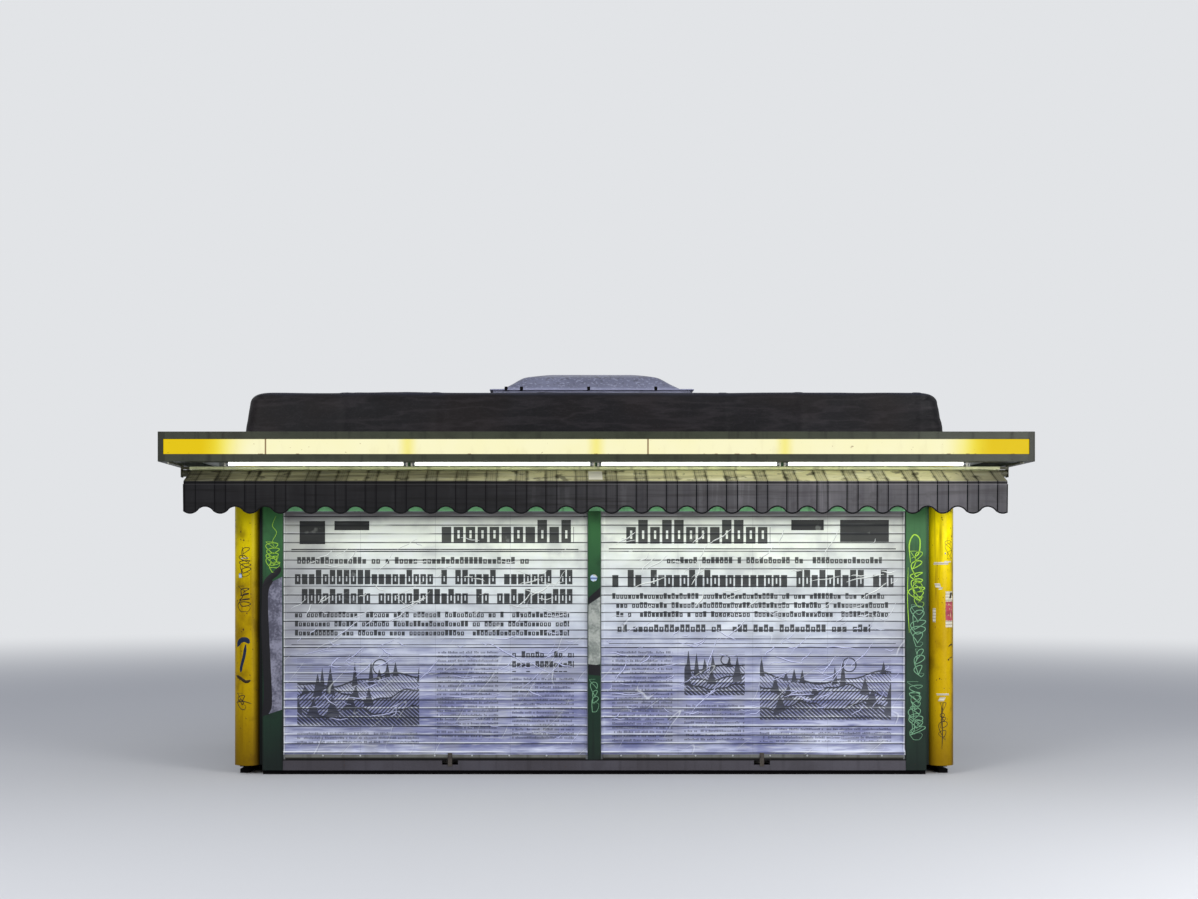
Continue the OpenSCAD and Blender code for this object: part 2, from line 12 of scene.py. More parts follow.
import bmesh
import bpy
import numpy as np
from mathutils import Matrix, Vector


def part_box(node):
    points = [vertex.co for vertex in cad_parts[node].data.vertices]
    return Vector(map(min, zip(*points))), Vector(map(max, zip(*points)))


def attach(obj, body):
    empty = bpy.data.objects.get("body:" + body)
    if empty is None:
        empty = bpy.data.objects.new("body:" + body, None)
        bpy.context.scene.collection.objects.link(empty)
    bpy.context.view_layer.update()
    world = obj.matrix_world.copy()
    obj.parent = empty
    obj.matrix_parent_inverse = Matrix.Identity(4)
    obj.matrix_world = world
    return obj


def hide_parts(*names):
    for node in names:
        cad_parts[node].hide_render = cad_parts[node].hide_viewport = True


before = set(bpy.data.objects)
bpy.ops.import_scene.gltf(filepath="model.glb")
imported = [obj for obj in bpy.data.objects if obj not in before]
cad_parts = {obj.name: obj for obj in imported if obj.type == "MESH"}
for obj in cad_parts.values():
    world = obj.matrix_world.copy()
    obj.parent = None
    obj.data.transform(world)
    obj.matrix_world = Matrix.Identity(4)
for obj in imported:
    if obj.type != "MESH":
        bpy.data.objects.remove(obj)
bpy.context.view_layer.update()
print("nodes in the frame:", len(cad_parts))


# %% Ask the frame where a part is
def span(node):
    """The lowest and the highest corner of a part, as two arrays."""
    low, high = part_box(node)
    return np.array(low), np.array(high)


print("front left curtain:", [corner.round(3).tolist() for corner in span("shutter_front_left")])

# %% [markdown]
# ## The camera
#
# The photograph looks straight at the shop front, so upright lines stay upright and the lines that
# run away from us meet at one point. That point and one known distance give the camera. A shifted
# lens keeps it level; tilting it instead would make the columns lean.

# %% Place the camera
photo_wide, photo_high = 1198, 899
vanishing_x, vanishing_y = 550, 572
focal_px = 1428
sensor_mm = 36
eye = (-0.381, -13.55, 1.741)
scene = bpy.context.scene

lens = bpy.data.cameras.new("camera")
lens.sensor_width = sensor_mm
lens.lens = sensor_mm * focal_px / photo_wide
lens.shift_x = (photo_wide / 2 - vanishing_x) / photo_wide
lens.shift_y = (vanishing_y - photo_high / 2) / photo_wide
camera = bpy.data.objects.new("camera", lens)
camera.location = eye
camera.rotation_euler = (math.radians(90), 0, 0)
scene.collection.objects.link(camera)
scene.camera = camera
scene.view_settings.view_transform = "Standard"
print("focal length in mm:", round(lens.lens, 2))

# %% [markdown]
# ## Shader maths as plain expressions
#
# A finish is arithmetic: dirt is noise times height. Wiring that by hand hides the idea in a hundred
# nodes. Here an output socket is wrapped in a small class that knows plus, minus, times and so on,
# and each sign adds one Math node.

# %% Wrap a socket
class Wire:
    """One output of a shader tree. Arithmetic on it adds Math nodes."""

    def __init__(self, nodes, socket):
        self.nodes = nodes
        self.socket = socket

    def math(self, operation, *values):
        return self.nodes.node("ShaderNodeMath", {"operation": operation}, dict(enumerate(values)))

    def __rsub__(self, other):
        return self.math("SUBTRACT", other, self)


signs = {"ADD": "__add__ __radd__", "SUBTRACT": "__sub__", "MULTIPLY": "__mul__ __rmul__",
         "DIVIDE": "__truediv__", "LESS_THAN": "__lt__", "GREATER_THAN": "__gt__", "FLOOR": "floor",
         "FRACT": "fract", "ABSOLUTE": "abs", "SINE": "sin", "SQRT": "root", "MAXIMUM": "most"}
for operation, methods in signs.items():
    for method in methods.split():
        setattr(Wire, method, lambda self, *others, does=operation: self.math(does, self, *others))


# %% Add any node, and the few that every finish needs
class Nodes:
    """A shader tree that nodes are added to. Each method returns the new node's output."""

    def __init__(self, tree):
        self.tree = tree
        tree.nodes.clear()

    def node(self, kind, settings=None, sockets=None, out=0):
        """Any node by its type, its settings first, and then the values or links of its sockets."""
        made = self.tree.nodes.new(kind)
        for name, value in (settings or {}).items():
            setattr(made, name, value)
        for key, value in (sockets or {}).items():
            if isinstance(value, Wire):
                self.tree.links.new(value.socket, made.inputs[key])
            else:
                made.inputs[key].default_value = value
        return Wire(self, made.outputs[out]) if made.outputs else None

    def place(self):
        """Where a point of the surface is, in the object's own metres."""
        return self.node("ShaderNodeTexCoord", out="Object")

    def split(self, vector):
        """The three numbers of a vector or a colour."""
        first = self.node("ShaderNodeSeparateXYZ", sockets={0: vector})
        return [Wire(self, socket) for socket in first.socket.node.outputs]

    def xyz(self):
        """The three numbers of the place."""
        return self.split(self.place())

    def ease(self, value, low, high):
        """0 below low, 1 above high, and a smooth step between. Low may be above high."""
        edges = {0: value, 1: low, 2: high, 3: 0.0, 4: 1.0}
        return self.node("ShaderNodeMapRange", {"interpolation_type": "SMOOTHSTEP"}, edges)

    def mix(self, share, first, second):
        """The first colour, with a share of the second in its place."""
        return self.node("ShaderNodeMix", {"data_type": "RGBA"}, {0: share, 6: first, 7: second}, out=2)

    def layers(self, colour, *rows):
        """A colour with others laid over it in turn, each given as its share and itself."""
        for share, over in rows:
            colour = self.mix(share, colour, over)
        return colour

    def noise(self, scale, stretch=(1, 1, 1), detail=3.0, shift=0.0):
        """Cloudy noise about 0.5. A larger stretch along an axis makes it finer there."""
        sockets = {0: self.place(), 1: stretch, 2: (shift, shift, shift)}
        at = self.node("ShaderNodeVectorMath", {"operation": "MULTIPLY_ADD"}, sockets)
        return self.node("ShaderNodeTexNoise", sockets={"Vector": at, "Scale": scale, "Detail": detail})

    def chances(self, first, second):
        """Three chance numbers from 0 to 1 for each pair of whole numbers."""
        at = self.node("ShaderNodeCombineXYZ", sockets={0: first, 1: second})
        return self.split(self.node("ShaderNodeTexWhiteNoise", sockets={"Vector": at}, out=1))


# %% Start and end a finish
dull_gloss = 0.2


class Look(Nodes):
    """A material in the making."""

    def __init__(self, name):
        self.material = bpy.data.materials.new(name)
        self.material.use_nodes = True
        super().__init__(self.material.node_tree)

    def surface(self, colour, roughness, height, depth, shine=dull_gloss, more=None):
        """Ends the finish: a colour, a roughness, and a height that is depth metres tall at 1."""
        bump = self.node("ShaderNodeBump", sockets={"Height": height, "Distance": depth})
        sockets = {"Base Color": colour, "Roughness": roughness, "Specular IOR Level": shine, "Normal": bump}
        return self.shade_with(self.node("ShaderNodeBsdfPrincipled", sockets={**sockets, **(more or {})}))

    def shade_with(self, shader):
        """Ends the finish with a shader that is already made."""
        self.node("ShaderNodeOutputMaterial", sockets={"Surface": shader})
        return self


def tone(*screen):
    """A colour as screens count it, 0 to 255, turned into the linear light that shaders use."""
    linear = [((part / 255 + 0.055) / 1.055) ** 2.4 if part > 10 else part / 3295 for part in screen]
    return (*linear, 1.0)


def shade(colour, factor):
    """A linear colour made lighter or darker."""
    return (*[part * factor for part in colour[:3]], 1.0)


print("middle grey in linear light:", round(tone(118, 118, 118)[0], 3))

# %% [markdown]
# ## The studio
#
# Soft light from all round shows a colour as it is written. The world gives most of it, and two
# large lamps give the forms their shadows. Behind the kiosk is a plain pale tone, and the floor
# fades into it far away, so that no horizon cuts through the picture.

# %% Light the world
backdrop = tone(226, 228, 231)
world_strength = 0.56
world = bpy.data.worlds.new("studio")
world.use_nodes = True
scene.world = world
sky = Nodes(world.node_tree)
path = sky.node("ShaderNodeLightPath").socket.node.outputs
camera_ray, mirror_ray, pane_ray = [Wire(sky, path[f"Is {name} Ray"])
                                    for name in ("Camera", "Glossy", "Transmission")]
looks = camera_ray.most(mirror_ray).most(pane_ray)
light_colour = sky.mix(looks, shade(tone(240, 244, 255), world_strength), backdrop)
sky.node("ShaderNodeOutputWorld", sockets={0: sky.node("ShaderNodeBackground", sockets={0: light_colour})})


# %% Hang two large lamps
lit_point = (0, 0, 1.4)
lamp_size = 5


def area_lamp(name, place, power):
    """A square lamp at a place, turned from straight down to face the kiosk."""
    data = bpy.data.lights.new(name, "AREA")
    data.size = lamp_size
    data.energy = power
    lamp = bpy.data.objects.new(name, data)
    lamp.location = place
    x, y, z = np.subtract(lit_point, place)
    lamp.rotation_euler = (math.atan2(math.hypot(x, y), -z), 0, math.atan2(y, x) - math.pi / 2)
    scene.collection.objects.link(lamp)


area_lamp("key", (-6.5, -10.5, 6.8), 600)
area_lamp("fill", (7.5, -9.5, 3.4), 880)

# %% Lay the floor
floor_reach = 90
fade_near, fade_far = 9.0, 30.0
floor_mesh = bpy.data.meshes.new("floor")
corners = [(floor_reach * x, floor_reach * y, 0) for x, y in ((-1, -1), (1, -1), (1, 1), (-1, 1))]
floor_mesh.from_pydata(corners, [], [(0, 1, 2, 3)])
floor = bpy.data.objects.new("floor", floor_mesh)
scene.collection.objects.link(floor)

ground = Look("studio_floor")
across, away, _ = ground.xyz()
distance = (across * across + away * away).root()
matt = ground.node("ShaderNodeBsdfDiffuse", sockets={0: tone(205, 206, 208)})
glow = ground.node("ShaderNodeEmission", sockets={0: backdrop})
fade = ground.ease(distance, fade_near, fade_far)
ground.shade_with(ground.node("ShaderNodeMixShader", sockets={0: fade, 1: matt, 2: glow}))
floor_mesh.materials.append(ground.material)

# %% [markdown]
# ## From arrays to pieces
#
# A piece of the kiosk is an array of points and the faces between them. Most are grids: a shape is a
# function of two numbers, and the faces of every grid are numbered alike. The rest are profiles
# carried along a line. Nothing here loops over points one by one.

# %% Number the faces of a grid
join = np.concatenate


def stacked(*parts):
    """Arrays of X, of Y and so on as one array of points. A part of size one fills its place."""
    return np.stack(np.broadcast_arrays(*parts), -1)


def grid_faces(rows, columns, closed=False):
    """Four-cornered faces between a grid's points. A closed grid joins its last column to its first."""
    row = np.arange(rows - 1)[:, None] * columns
    column = np.arange(columns if closed else columns - 1)[None, :]
    after = (column + 1) % columns
    near, far = row + column, row + after
    return np.stack([near, far, far + columns, near + columns], -1).reshape(-1, 4)


def tube_faces(rows, columns):
    """A closed grid with a flat face over each end."""
    ring = np.arange(columns)[None, :]
    return [grid_faces(rows, columns, closed=True), ring[:, ::-1], ring + (rows - 1) * columns]


def ring_faces(*rows):
    """A closed band of faces between two rows of point numbers."""
    return join(rows)[grid_faces(2, len(rows[0]), closed=True)]


def rim_of(rows, columns):
    """The numbers of the points round the edge of a grid."""
    number = np.arange(rows * columns).reshape(rows, columns)
    return join([number[0, :-1], number[:-1, -1], number[-1, :0:-1], number[:0:-1, 0]])


# %% Make a mesh from arrays
def mesh_from(name, points, face_sets):
    """Points as rows of three, and arrays of faces that each have their own number of corners."""
    points = np.asarray(points, float).reshape(-1, 3)
    corners = join([faces.ravel() for faces in face_sets])
    sizes = join([np.full(len(faces), faces.shape[1]) for faces in face_sets])
    mesh = bpy.data.meshes.new(name)
    mesh.vertices.add(len(points))
    mesh.vertices.foreach_set("co", points.ravel())
    mesh.loops.add(len(corners))
    mesh.loops.foreach_set("vertex_index", corners)
    mesh.polygons.add(len(sizes))
    mesh.polygons.foreach_set("loop_start", np.cumsum(sizes) - sizes)
    mesh.update(calc_edges=True)
    return mesh


# %% Turn a mesh into a piece of the kiosk
triangles_made = 0


def modify(made, kind, **settings):
    """Adds a modifier with its settings."""
    modifier = made.modifiers.new(kind.lower(), kind)
    for name, value in settings.items():
        setattr(modifier, name, value)


def piece(mesh, look, slot, replaces=(), crease=35, bevel=0.0, wall=0.0):
    """Gives a mesh its finish and its place on the body. A bevel rounds its edges, a wall thickens it."""
    global triangles_made
    angle = math.radians(crease)
    mesh.materials.append(look.material)
    mesh.shade_smooth()
    mesh.set_sharp_from_angle(angle=angle)
    made = bpy.data.objects.new(mesh.name, mesh)
    scene.collection.objects.link(made)
    if wall:
        modify(made, "SOLIDIFY", thickness=wall, offset=-1)
    if bevel:
        modify(made, "BEVEL", width=bevel, segments=2, angle_limit=angle, harden_normals=True)
    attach(made, "root")
    if replaces:
        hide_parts(*replaces)
    count = sum(polygon.loop_total - 2 for polygon in mesh.polygons)
    triangles_made += count
    print(f"{mesh.name}: {count} triangles before rounding")
    return made


def solid(name, points, face_sets, look, slot, **finish):
    """A closed piece, with its faces turned outwards."""
    mesh = mesh_from(name, points, face_sets)
    shape = bmesh.new()
    shape.from_mesh(mesh)
    bmesh.ops.recalc_face_normals(shape, faces=shape.faces)
    shape.to_mesh(mesh)
    shape.free()
    return piece(mesh, look, slot, **finish)


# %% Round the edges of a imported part
def rounded(node, look, slot, bevel):
    """A copy of a part, its triangles joined and its edges eased, which stands for the part."""
    shape = bmesh.new()
    shape.from_mesh(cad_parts[node].data)
    bmesh.ops.remove_doubles(shape, verts=shape.verts, dist=1e-5)
    bmesh.ops.dissolve_limit(shape, angle_limit=math.radians(1), verts=shape.verts, edges=shape.edges)
    mesh = bpy.data.meshes.new(node + "_dressed")
    shape.verts.index_update()
    places = [vertex.co[:] for vertex in shape.verts]
    mesh.from_pydata(places, [], [[vertex.index for vertex in face.verts] for face in shape.faces])
    shape.free()
    piece(mesh, look, slot, replaces=[node], bevel=bevel)


# %% Carry a profile, turn a profile, repeat a small shape
def turned(profile, centre, axis=2, count=48):
    """A line of (radius, along) points turned round an axis through a centre, with flat ends."""
    radius, along = np.asarray(profile, float).T
    angle = np.arange(count) * 2 * math.pi / count
    points = np.empty((len(radius), count, 3))
    points[..., axis] = along[:, None]
    points[..., (axis + 1) % 3] = radius[:, None] * np.cos(angle)
    points[..., (axis + 2) % 3] = radius[:, None] * np.sin(angle)
    return points + np.asarray(centre), tube_faces(len(radius), count)


def swung(points, degrees):
    """Points drawn for the front, swung about the middle of the kiosk to face a side or the back."""
    turn = math.radians(degrees)
    matrix = np.array([[math.cos(turn), -math.sin(turn), 0], [math.sin(turn), math.cos(turn), 0], [0, 0, 1]])
    return points @ matrix.T


def repeated(points, face_sets, places):
    """One small shape set down at many places, as one array of points and its faces."""
    points = np.asarray(points, float).reshape(-1, 3)
    places = np.asarray(places, float).reshape(-1, 3)
    step = np.arange(len(places))[:, None, None] * len(points)
    many = [(faces[None] + step).reshape(-1, faces.shape[1]) for faces in face_sets]
    return (points[None] + places[:, None]).reshape(-1, 3), many


def together(*shapes):
    """Several shapes, each points and faces, as the points and faces of one."""
    points, face_sets, start = [], [], 0
    for shape_points, shape_faces in shapes:
        points.append(np.asarray(shape_points).reshape(-1, 3))
        face_sets += [faces + start for faces in shape_faces]
        start += len(points[-1])
    return join(points), face_sets


def box(low, high):
    """The eight corners and six faces of a box."""
    low, high = np.asarray(low, float), np.asarray(high, float)
    share = np.array([(x, y, z) for z in (0, 1) for x, y in ((0, 0), (1, 0), (1, 1), (0, 1))])
    return low + share * (high - low), tube_faces(2, 4)


def domed_head(radius, height, sense=-1):
    """A rivet's head at the origin that stands out along Y: a quarter circle turned round it."""
    lift = np.radians([0, 25, 50, 72, 88])
    along = join([[-0.3], np.sin(lift)]) * height * sense
    return turned(stacked(join([[1], np.cos(lift)]) * radius, along), (0, 0, 0), 1, 12)


# %% Smooth noise for shapes
def soft_noise(across, up, seed):
    """From -1 to 1: chance values at whole numbers, blended between them with a cubic ease."""
    table = np.random.default_rng(seed).uniform(-1, 1, (64, 64))
    column, row = np.floor(across).astype(int), np.floor(up).astype(int)
    right, above = across - column, up - row
    right, above = right * right * (3 - 2 * right), above * above * (3 - 2 * above)

    def blended(step_y):
        first, second = (table[(column + step_x) % 64, (row + step_y) % 64] for step_x in (0, 1))
        return first + (second - first) * right

    return blended(0) + (blended(1) - blended(0)) * above


def rough_noise(across, up, seed, octaves=4):
    """Soft noise with finer and weaker noise added to it."""
    return sum(soft_noise(across * 2**n, up * 2**n, seed + n) / 2**n for n in range(octaves)) / 1.6


def eased(value, low, high):
    """0 below low, 1 above high and a smooth step between, for arrays."""
    share = np.clip((value - low) / (high - low), 0, 1)
    return share * share * (3 - 2 * share)


print("noise runs from", rough_noise(np.linspace(0, 9, 99), np.zeros(99), 1).min().round(2))

# %% [markdown]
# ## Paint on steel
#
# Street paint is never one colour. Sun fades it in clouds, rain draws dirty runs down it, feet splash
# dust on its foot, and knocks leave chips that rust. The recipe also paints light and shade into the
# colour: a lighter tone high up where the lamps shine, and painted shade in corners, in gaps and under
# other parts. All painted parts share this one recipe and differ in how strong each effect is. Painted
# pictures would do too, but one for every part.

# %% Paint, what the street does to it, and painted light and shade
rust = tone(66, 42, 28)


def paint(name, fresh, faded, dirt, gloss=0.4, runs=0.5, chips=0.0, splash=0.6, metal=0.0, shine=dull_gloss,
          high=None, shade_share=None):
    """Cloudy fading, dirty runs, a grimy foot and rusty chips, each as a share of the colour.

    High is painted lamp light: the colour high up where the lamps shine on it. The function passed last gives
    a share of painted shade in corners, in gaps and under other parts."""
    look = Look(name)
    ease = look.ease
    x, y, height = look.xyz()
    clouds = look.noise(1.3, detail=4.0)
    patches = look.noise(5.0, detail=4.0, shift=6.0)
    streaks = look.noise(1.0, (17, 17, 0.9), shift=4.0)
    grain = look.noise(70, detail=2.0)
    flecks = look.noise(36, detail=5.0, shift=9.0)
    dirt = tone(*dirt)
    run = ease(streaks, 0.52, 0.74) * runs
    foot = ease(height + (clouds - 0.5) * 0.6, 0.75, 0.02) * splash
    rarity = 0.73 - 0.08 * chips
    chip = ease(flecks + (0.5 - clouds) * 0.1, rarity, rarity + 0.015) * min(1, chips * 4)
    layers = [(ease(clouds + (grain - 0.5) * 0.3, 0.3, 0.7), tone(*faded))]
    # Painted lamp light: towards the top the colour turns to high.
    if high:
        layers.append((ease(height + (clouds - 0.5) * 0.5, 1.35, 2.3), tone(*high)))
    layers += [(run.most(ease(patches, 0.5, 0.72) * (runs * 0.7)), dirt), (foot, dirt)]
    # Painted shade: a darkened dirt colour wherever the passed function says.
    if shade_share:
        layers.append((shade_share(ease, x, y, height), shade(dirt, 0.35)))
    colour = look.layers(tone(*fresh), *layers, (chip, rust))
    relief = grain * 0.2 + clouds * 0.3 - chip + run * 0.3
    roughness = gloss + foot * 0.3 + run * 0.2 + chip * 0.3
    return look.surface(colour, roughness, relief, 0.0007, shine, {"Metallic": metal})


# %% Where painted shade goes
def shade_beside_columns(ease, x, y, z):
    """Painted shade on the posts where they meet the corner columns, stronger on the left."""
    front = ease(x.abs(), 2.836, 2.856) * (y.abs() > 1.2)
    side = ease(y.abs(), 1.03, 1.05) * (x.abs() > 3.0)
    return front.most(side) * (0.35 + (x < 0) * 0.6)


def shade_on_columns(ease, x, y, z):
    """Painted shade on the columns: the left one darker, most high up, the right one darker on its outer
    flank, and both on the flanks that face the posts.
    """
    black_spray_and_shade = (ease(z, 1.4, 2.2) * 0.2 + 0.17) * (x < 0)
    black_spray_and_shade = black_spray_and_shade.most(ease(x, 3.045, 3.1) * (ease(z, 2.3, 1.9) * 0.3 + 0.32))
    return black_spray_and_shade.most(ease(x.abs(), 2.95, 2.895).most(ease(y.abs(), 1.145, 1.09)) * (0.3 + (x < 0) * 0.55))


def shade_on_fascia_ends(ease, x, y, z):
    """Painted shade on the corners of the fascia, which lie past the lamps."""
    return ease(x.abs(), 3.54, 3.6).most(ease(y.abs(), 1.74, 1.8) * (x.abs() > 3.55)) * 0.5


def shade_between_heights(low, high, share):
    """A share of painted shade that comes between two heights: under a bar, behind the hood."""
    return lambda ease, x, y, z: ease(z, low, high) * share


def shade_on_hood_ends(ease, x, y, z):
    """Painted shade on the end plates of the awning's hood, which makes them dark."""
    return ease(x.abs(), 3.452, 3.458) * 0.97


# %% Mix the paints
# The posts are painted lighter high up as lamp light and darker beside the columns as shade.
green = paint("green_paint", (20, 44, 32), (28, 53, 38), (20, 26, 25), 0.42, 0.7, 0.2, 0.9, shine=0.14,
              high=(52, 100, 56), shade_share=shade_beside_columns)
# The front header's pale green is painted lamp light, and its top, behind the hood, painted shade.
lamp_lit_header_green = paint("lamp_lit_header_paint", (134, 206, 144), (146, 218, 154), (70, 110, 80),
                     shade_share=shade_between_heights(2.38, 2.46, 0.94))
# The columns are painted lighter high up as lamp light, and darker as shade on their flanks.
yellow = paint("yellow_paint", (180, 150, 3), (160, 128, 4), (92, 66, 6), 0.3, 0.8, 0.6, 0.75, shine=0.05,
               high=(246, 224, 4), shade_share=shade_on_columns)
# A painted shadow line along the top of the base beam, under the bar.
base_grey = paint("base_paint", (58, 55, 60), (68, 66, 73), (36, 34, 36), 0.5, 0.35, 0.15, 0,
                  shade_share=shade_between_heights(0.1185, 0.1225, 0.95))
# Near black: the skids are painted as dark as the shadow under the kiosk; the dome clips share this paint.
black_and_shadow = paint("skid_paint", (6, 5, 7), (9, 8, 9), (4, 3, 4), 0.8, 0.4, 0.1, 0.5, shine=0.08)
# The bar's lower edge is painted dark as shadow.
bar_grey = paint("bar_paint", (102, 103, 98), (88, 89, 86), (50, 48, 43), 0.4, 0.6, 0.1, 0,
                 shade_share=shade_between_heights(0.15, 0.146, 0.97))
teal_grey = paint("frame_paint", (44, 47, 36), (52, 55, 43), (24, 24, 19), 0.38, 0.6, 0.1, shine=0.14,
                  shade_share=shade_on_fascia_ends)
white = paint("ceiling_paint", (196, 198, 192), (182, 184, 178), (120, 116, 104), 0.5, 0.4)
batten_white = paint("batten_paint", (206, 206, 196), (190, 186, 168), (110, 94, 66), 0.3, 0.5)
bright_zinc = paint("rivet_zinc", (172, 174, 174), (150, 153, 153), (130, 128, 120), 0.35, 0.3, 0, 0)
kerb_grey = paint("kerb_paint", (128, 130, 150), (112, 114, 134), (70, 70, 82), 0.5, 0.5, 0, 0)
zinc = paint("galvanised", (150, 153, 154), (128, 132, 135), (78, 76, 72), 0.38, 0.6, 0, 0.3, 0.5)
iron = paint("lock_iron", (84, 80, 76), (62, 56, 50), (40, 33, 27), 0.5, 0.8, 0.5, 0.3, 0.4)
aluminium = paint("aluminium", (150, 152, 150), (126, 128, 128), (64, 62, 58), 0.35, 0.6, 0, 0, 0.6)
deck_grey = paint("deck_sheet", (60, 58, 57), (74, 72, 69), (36, 34, 31), 0.6, 0.3, 0.2, 0)
hood_white = paint("hood_paint", (226, 230, 182), (206, 210, 160), (96, 92, 70), splash=0, shade_share=shade_on_hood_ends)
slat_steel = paint("slat_paint", (140, 144, 148), (118, 121, 127), (70, 68, 66), 0.42, 0.5, 0.2)

# %% [markdown]
# ## Base, frame and canopy
#
# These parts have their true shape in the frame: folded channels, square posts, boxed fascias. What
# gives a drawn box away is its knife edge, because bent and painted steel has a small radius that
# catches the light. So each part is copied, joined and rounded, and the copy is shown.

# %% Dress the folded and boxed parts
dressed = [
    ("skids_long skids_cross", black_and_shadow, "skid_paint", 0.003),
    ("base_beam_front base_beam_back base_beams_side", base_grey, "base_paint", 0.0015),
    ("floor_deck", deck_grey, "floor_plate", 0.002),
    ("posts_front posts_back posts_side mullion_front", green, "green_paint", 0.004),
    ("header_back headers_side", green, "green_paint", 0.003),
    ("header_front", lamp_lit_header_green, "green_paint", 0.003),
    ("shutter_guides", zinc, "guide_steel", 0.002),
    ("bottom_bar_left bottom_bar_right", bar_grey, "base_paint", 0.004),
    ("lock_straps", iron, "lock_steel", 0.0015),
    ("ceiling", white, "ceiling_paint", 0.002),
    ("roof_deck", deck_grey, "deck_sheet", 0.002),
    ("fascia_front fascia_back fascia_left fascia_right", teal_grey, "frame_paint", 0.002),
    ("lamp_battens", batten_white, "lamp_batten", 0.003),
    ("awning_frame", hood_white, "awning_metal", 0.0015),
    ("awning_arms", aluminium, "awning_metal", 0.002),
    ("skylight_well", kerb_grey, "kerb_metal", 0.003),
]
for nodes, *finish in dressed:
    for node in nodes.split():
        rounded(node, *finish)

# %% [markdown]
# ## Corner columns
#
# Each column is a painted steel tube, open at its foot, where a dark gap shows over the skid. A
# packed cylinder has flat facets, so the tube is turned from a profile instead: up inside the foot,
# round the rim and up the outside. Knocks leave shallow dents, which is noise on the radius.

# %% Turn the four columns
tube_wall = 0.004
foot_recess = 0.05
dent = 0.0006


def round_of(node):
    """The middle and the radius of an upright tube."""
    low, high = span(node)
    return (low[0] + high[0]) / 2, (low[1] + high[1]) / 2, (high[0] - low[0]) / 2


for node in ("column_front_left", "column_front_right", "column_back_left", "column_back_right"):
    middle_x, middle_y, radius = round_of(node)
    foot, top = span(node)[0][2], span(node)[1][2]
    rim = np.radians(np.linspace(0, 180, 7))
    rim_line = stacked(radius - tube_wall / 2 * (1 + np.cos(rim)), foot + tube_wall / 2 * (1 - np.sin(rim)))
    outside = stacked(radius, np.linspace(foot + 0.01, top, 110))
    profile = join([[(radius - tube_wall, foot + foot_recess)], rim_line, outside])
    points, faces = turned(profile, (middle_x, middle_y, 0), count=72)
    offset = points[..., :2] - (middle_x, middle_y)
    angle = np.arctan2(offset[..., 1], offset[..., 0])
    knock = rough_noise(2.5 * np.cos(angle) + 9, points[..., 2] * 2.2 + 2.5 * np.sin(angle), 11)
    points[..., :2] -= offset * (eased(knock, 0.1, 0.7) * dent / radius)[..., None]
    solid(node + "_tube", points, faces, yellow, "yellow_paint", replaces=[node])

# %% [markdown]
# ## Roller shutters
#
# A roller shutter is a curtain of steel slats, each a little crowned, hooked into the next one in a
# narrow groove. The curtain is one profile of all its slats, carried sideways.

# %% The depth of a slatted face
slat_pitch = 0.0753
groove_half = 0.0048
groove_edge = 0.003
groove_depth = 0.006
slat_crown = 0.0014
slat_shares = np.array([0, 0.035, 0.055, 0.08, 0.12, 0.28, 0.5, 0.72, 0.88, 0.92, 0.945, 0.965])


def slat_depth(up):
    """How far a slatted face lies back, at heights above the curtain's foot: a groove and a crown."""
    share = up / slat_pitch % 1
    to_groove = np.minimum(share, 1 - share) * slat_pitch
    return groove_depth * eased(groove_half - to_groove, 0, groove_edge) + slat_crown * (2 * share - 1) ** 2


def slat_heights(tall):
    """Heights above the foot at which a face of slats has to have a point."""
    every = (np.arange(math.ceil(tall / slat_pitch))[:, None] + slat_shares).ravel() * slat_pitch
    return np.append(every[every < tall - 0.002], tall)


# %% Hang the four curtains
side_dent = 0.0016


def curtain(name, node, low, high, columns, turn=0):
    """Slats from a low corner to a high one, drawn for the front and swung to their side."""
    heights = slat_heights(high[2] - low[2])
    face = stacked(low[1] + slat_depth(heights), low[2] + heights)
    profile = join([face, [(high[1], high[2]), (high[1], low[2])]])
    stations = np.linspace(low[0], high[0], columns)[:, None]
    points = stacked(stations, profile[:, 0], profile[:, 1])
    dents = eased(rough_noise(points[..., 0] * 1.7, points[..., 2] * 1.3, 5), 0.1, 0.8) * side_dent
    points[:, : len(face), 1] += dents[:, : len(face)]
    faces = tube_faces(columns, len(profile))
    solid(name, swung(points, turn), faces, slat_steel, "slat_steel", replaces=[node], crease=50)


for side in ("left", "right"):
    curtain(f"slats_front_{side}", f"shutter_front_{side}", *span(f"shutter_front_{side}"), 8)

curtain_low, curtain_high = span("shutter_front_left")
bar_low, bar_high = span("bottom_bar_left")
for side, turn in (("left", -90), ("right", 90)):
    low, high = span(f"shutter_side_{side}")
    wall = max(-low[0], high[0])
    face = curtain_low[1] - bar_low[1] - wall
    corners = (low[1], face, bar_high[2]), (high[1], face + curtain_high[1] - curtain_low[1], high[2])
    curtain(f"slats_side_{side}", f"shutter_side_{side}", *corners, 28, turn)
    points, faces = box((low[1], -wall, bar_low[2]), (high[1], bar_high[1] - bar_low[1] - wall, bar_high[2]))
    solid(f"bottom_bar_side_{side}", swung(points, turn), faces, bar_grey, "base_paint", bevel=0.004)

# %% [markdown]
# Each bottom bar is riveted to the last slat. The rivets are one small dome, a quarter circle turned
# round an axis, that is repeated in an array.

# %% Rivet the bottom bars
rivet_pitch = 0.32
first_rivet = -2.331
rivet_rise = 0.023
rivet_margin = 0.05
rivet_radius, rivet_tall = 0.008, 0.004

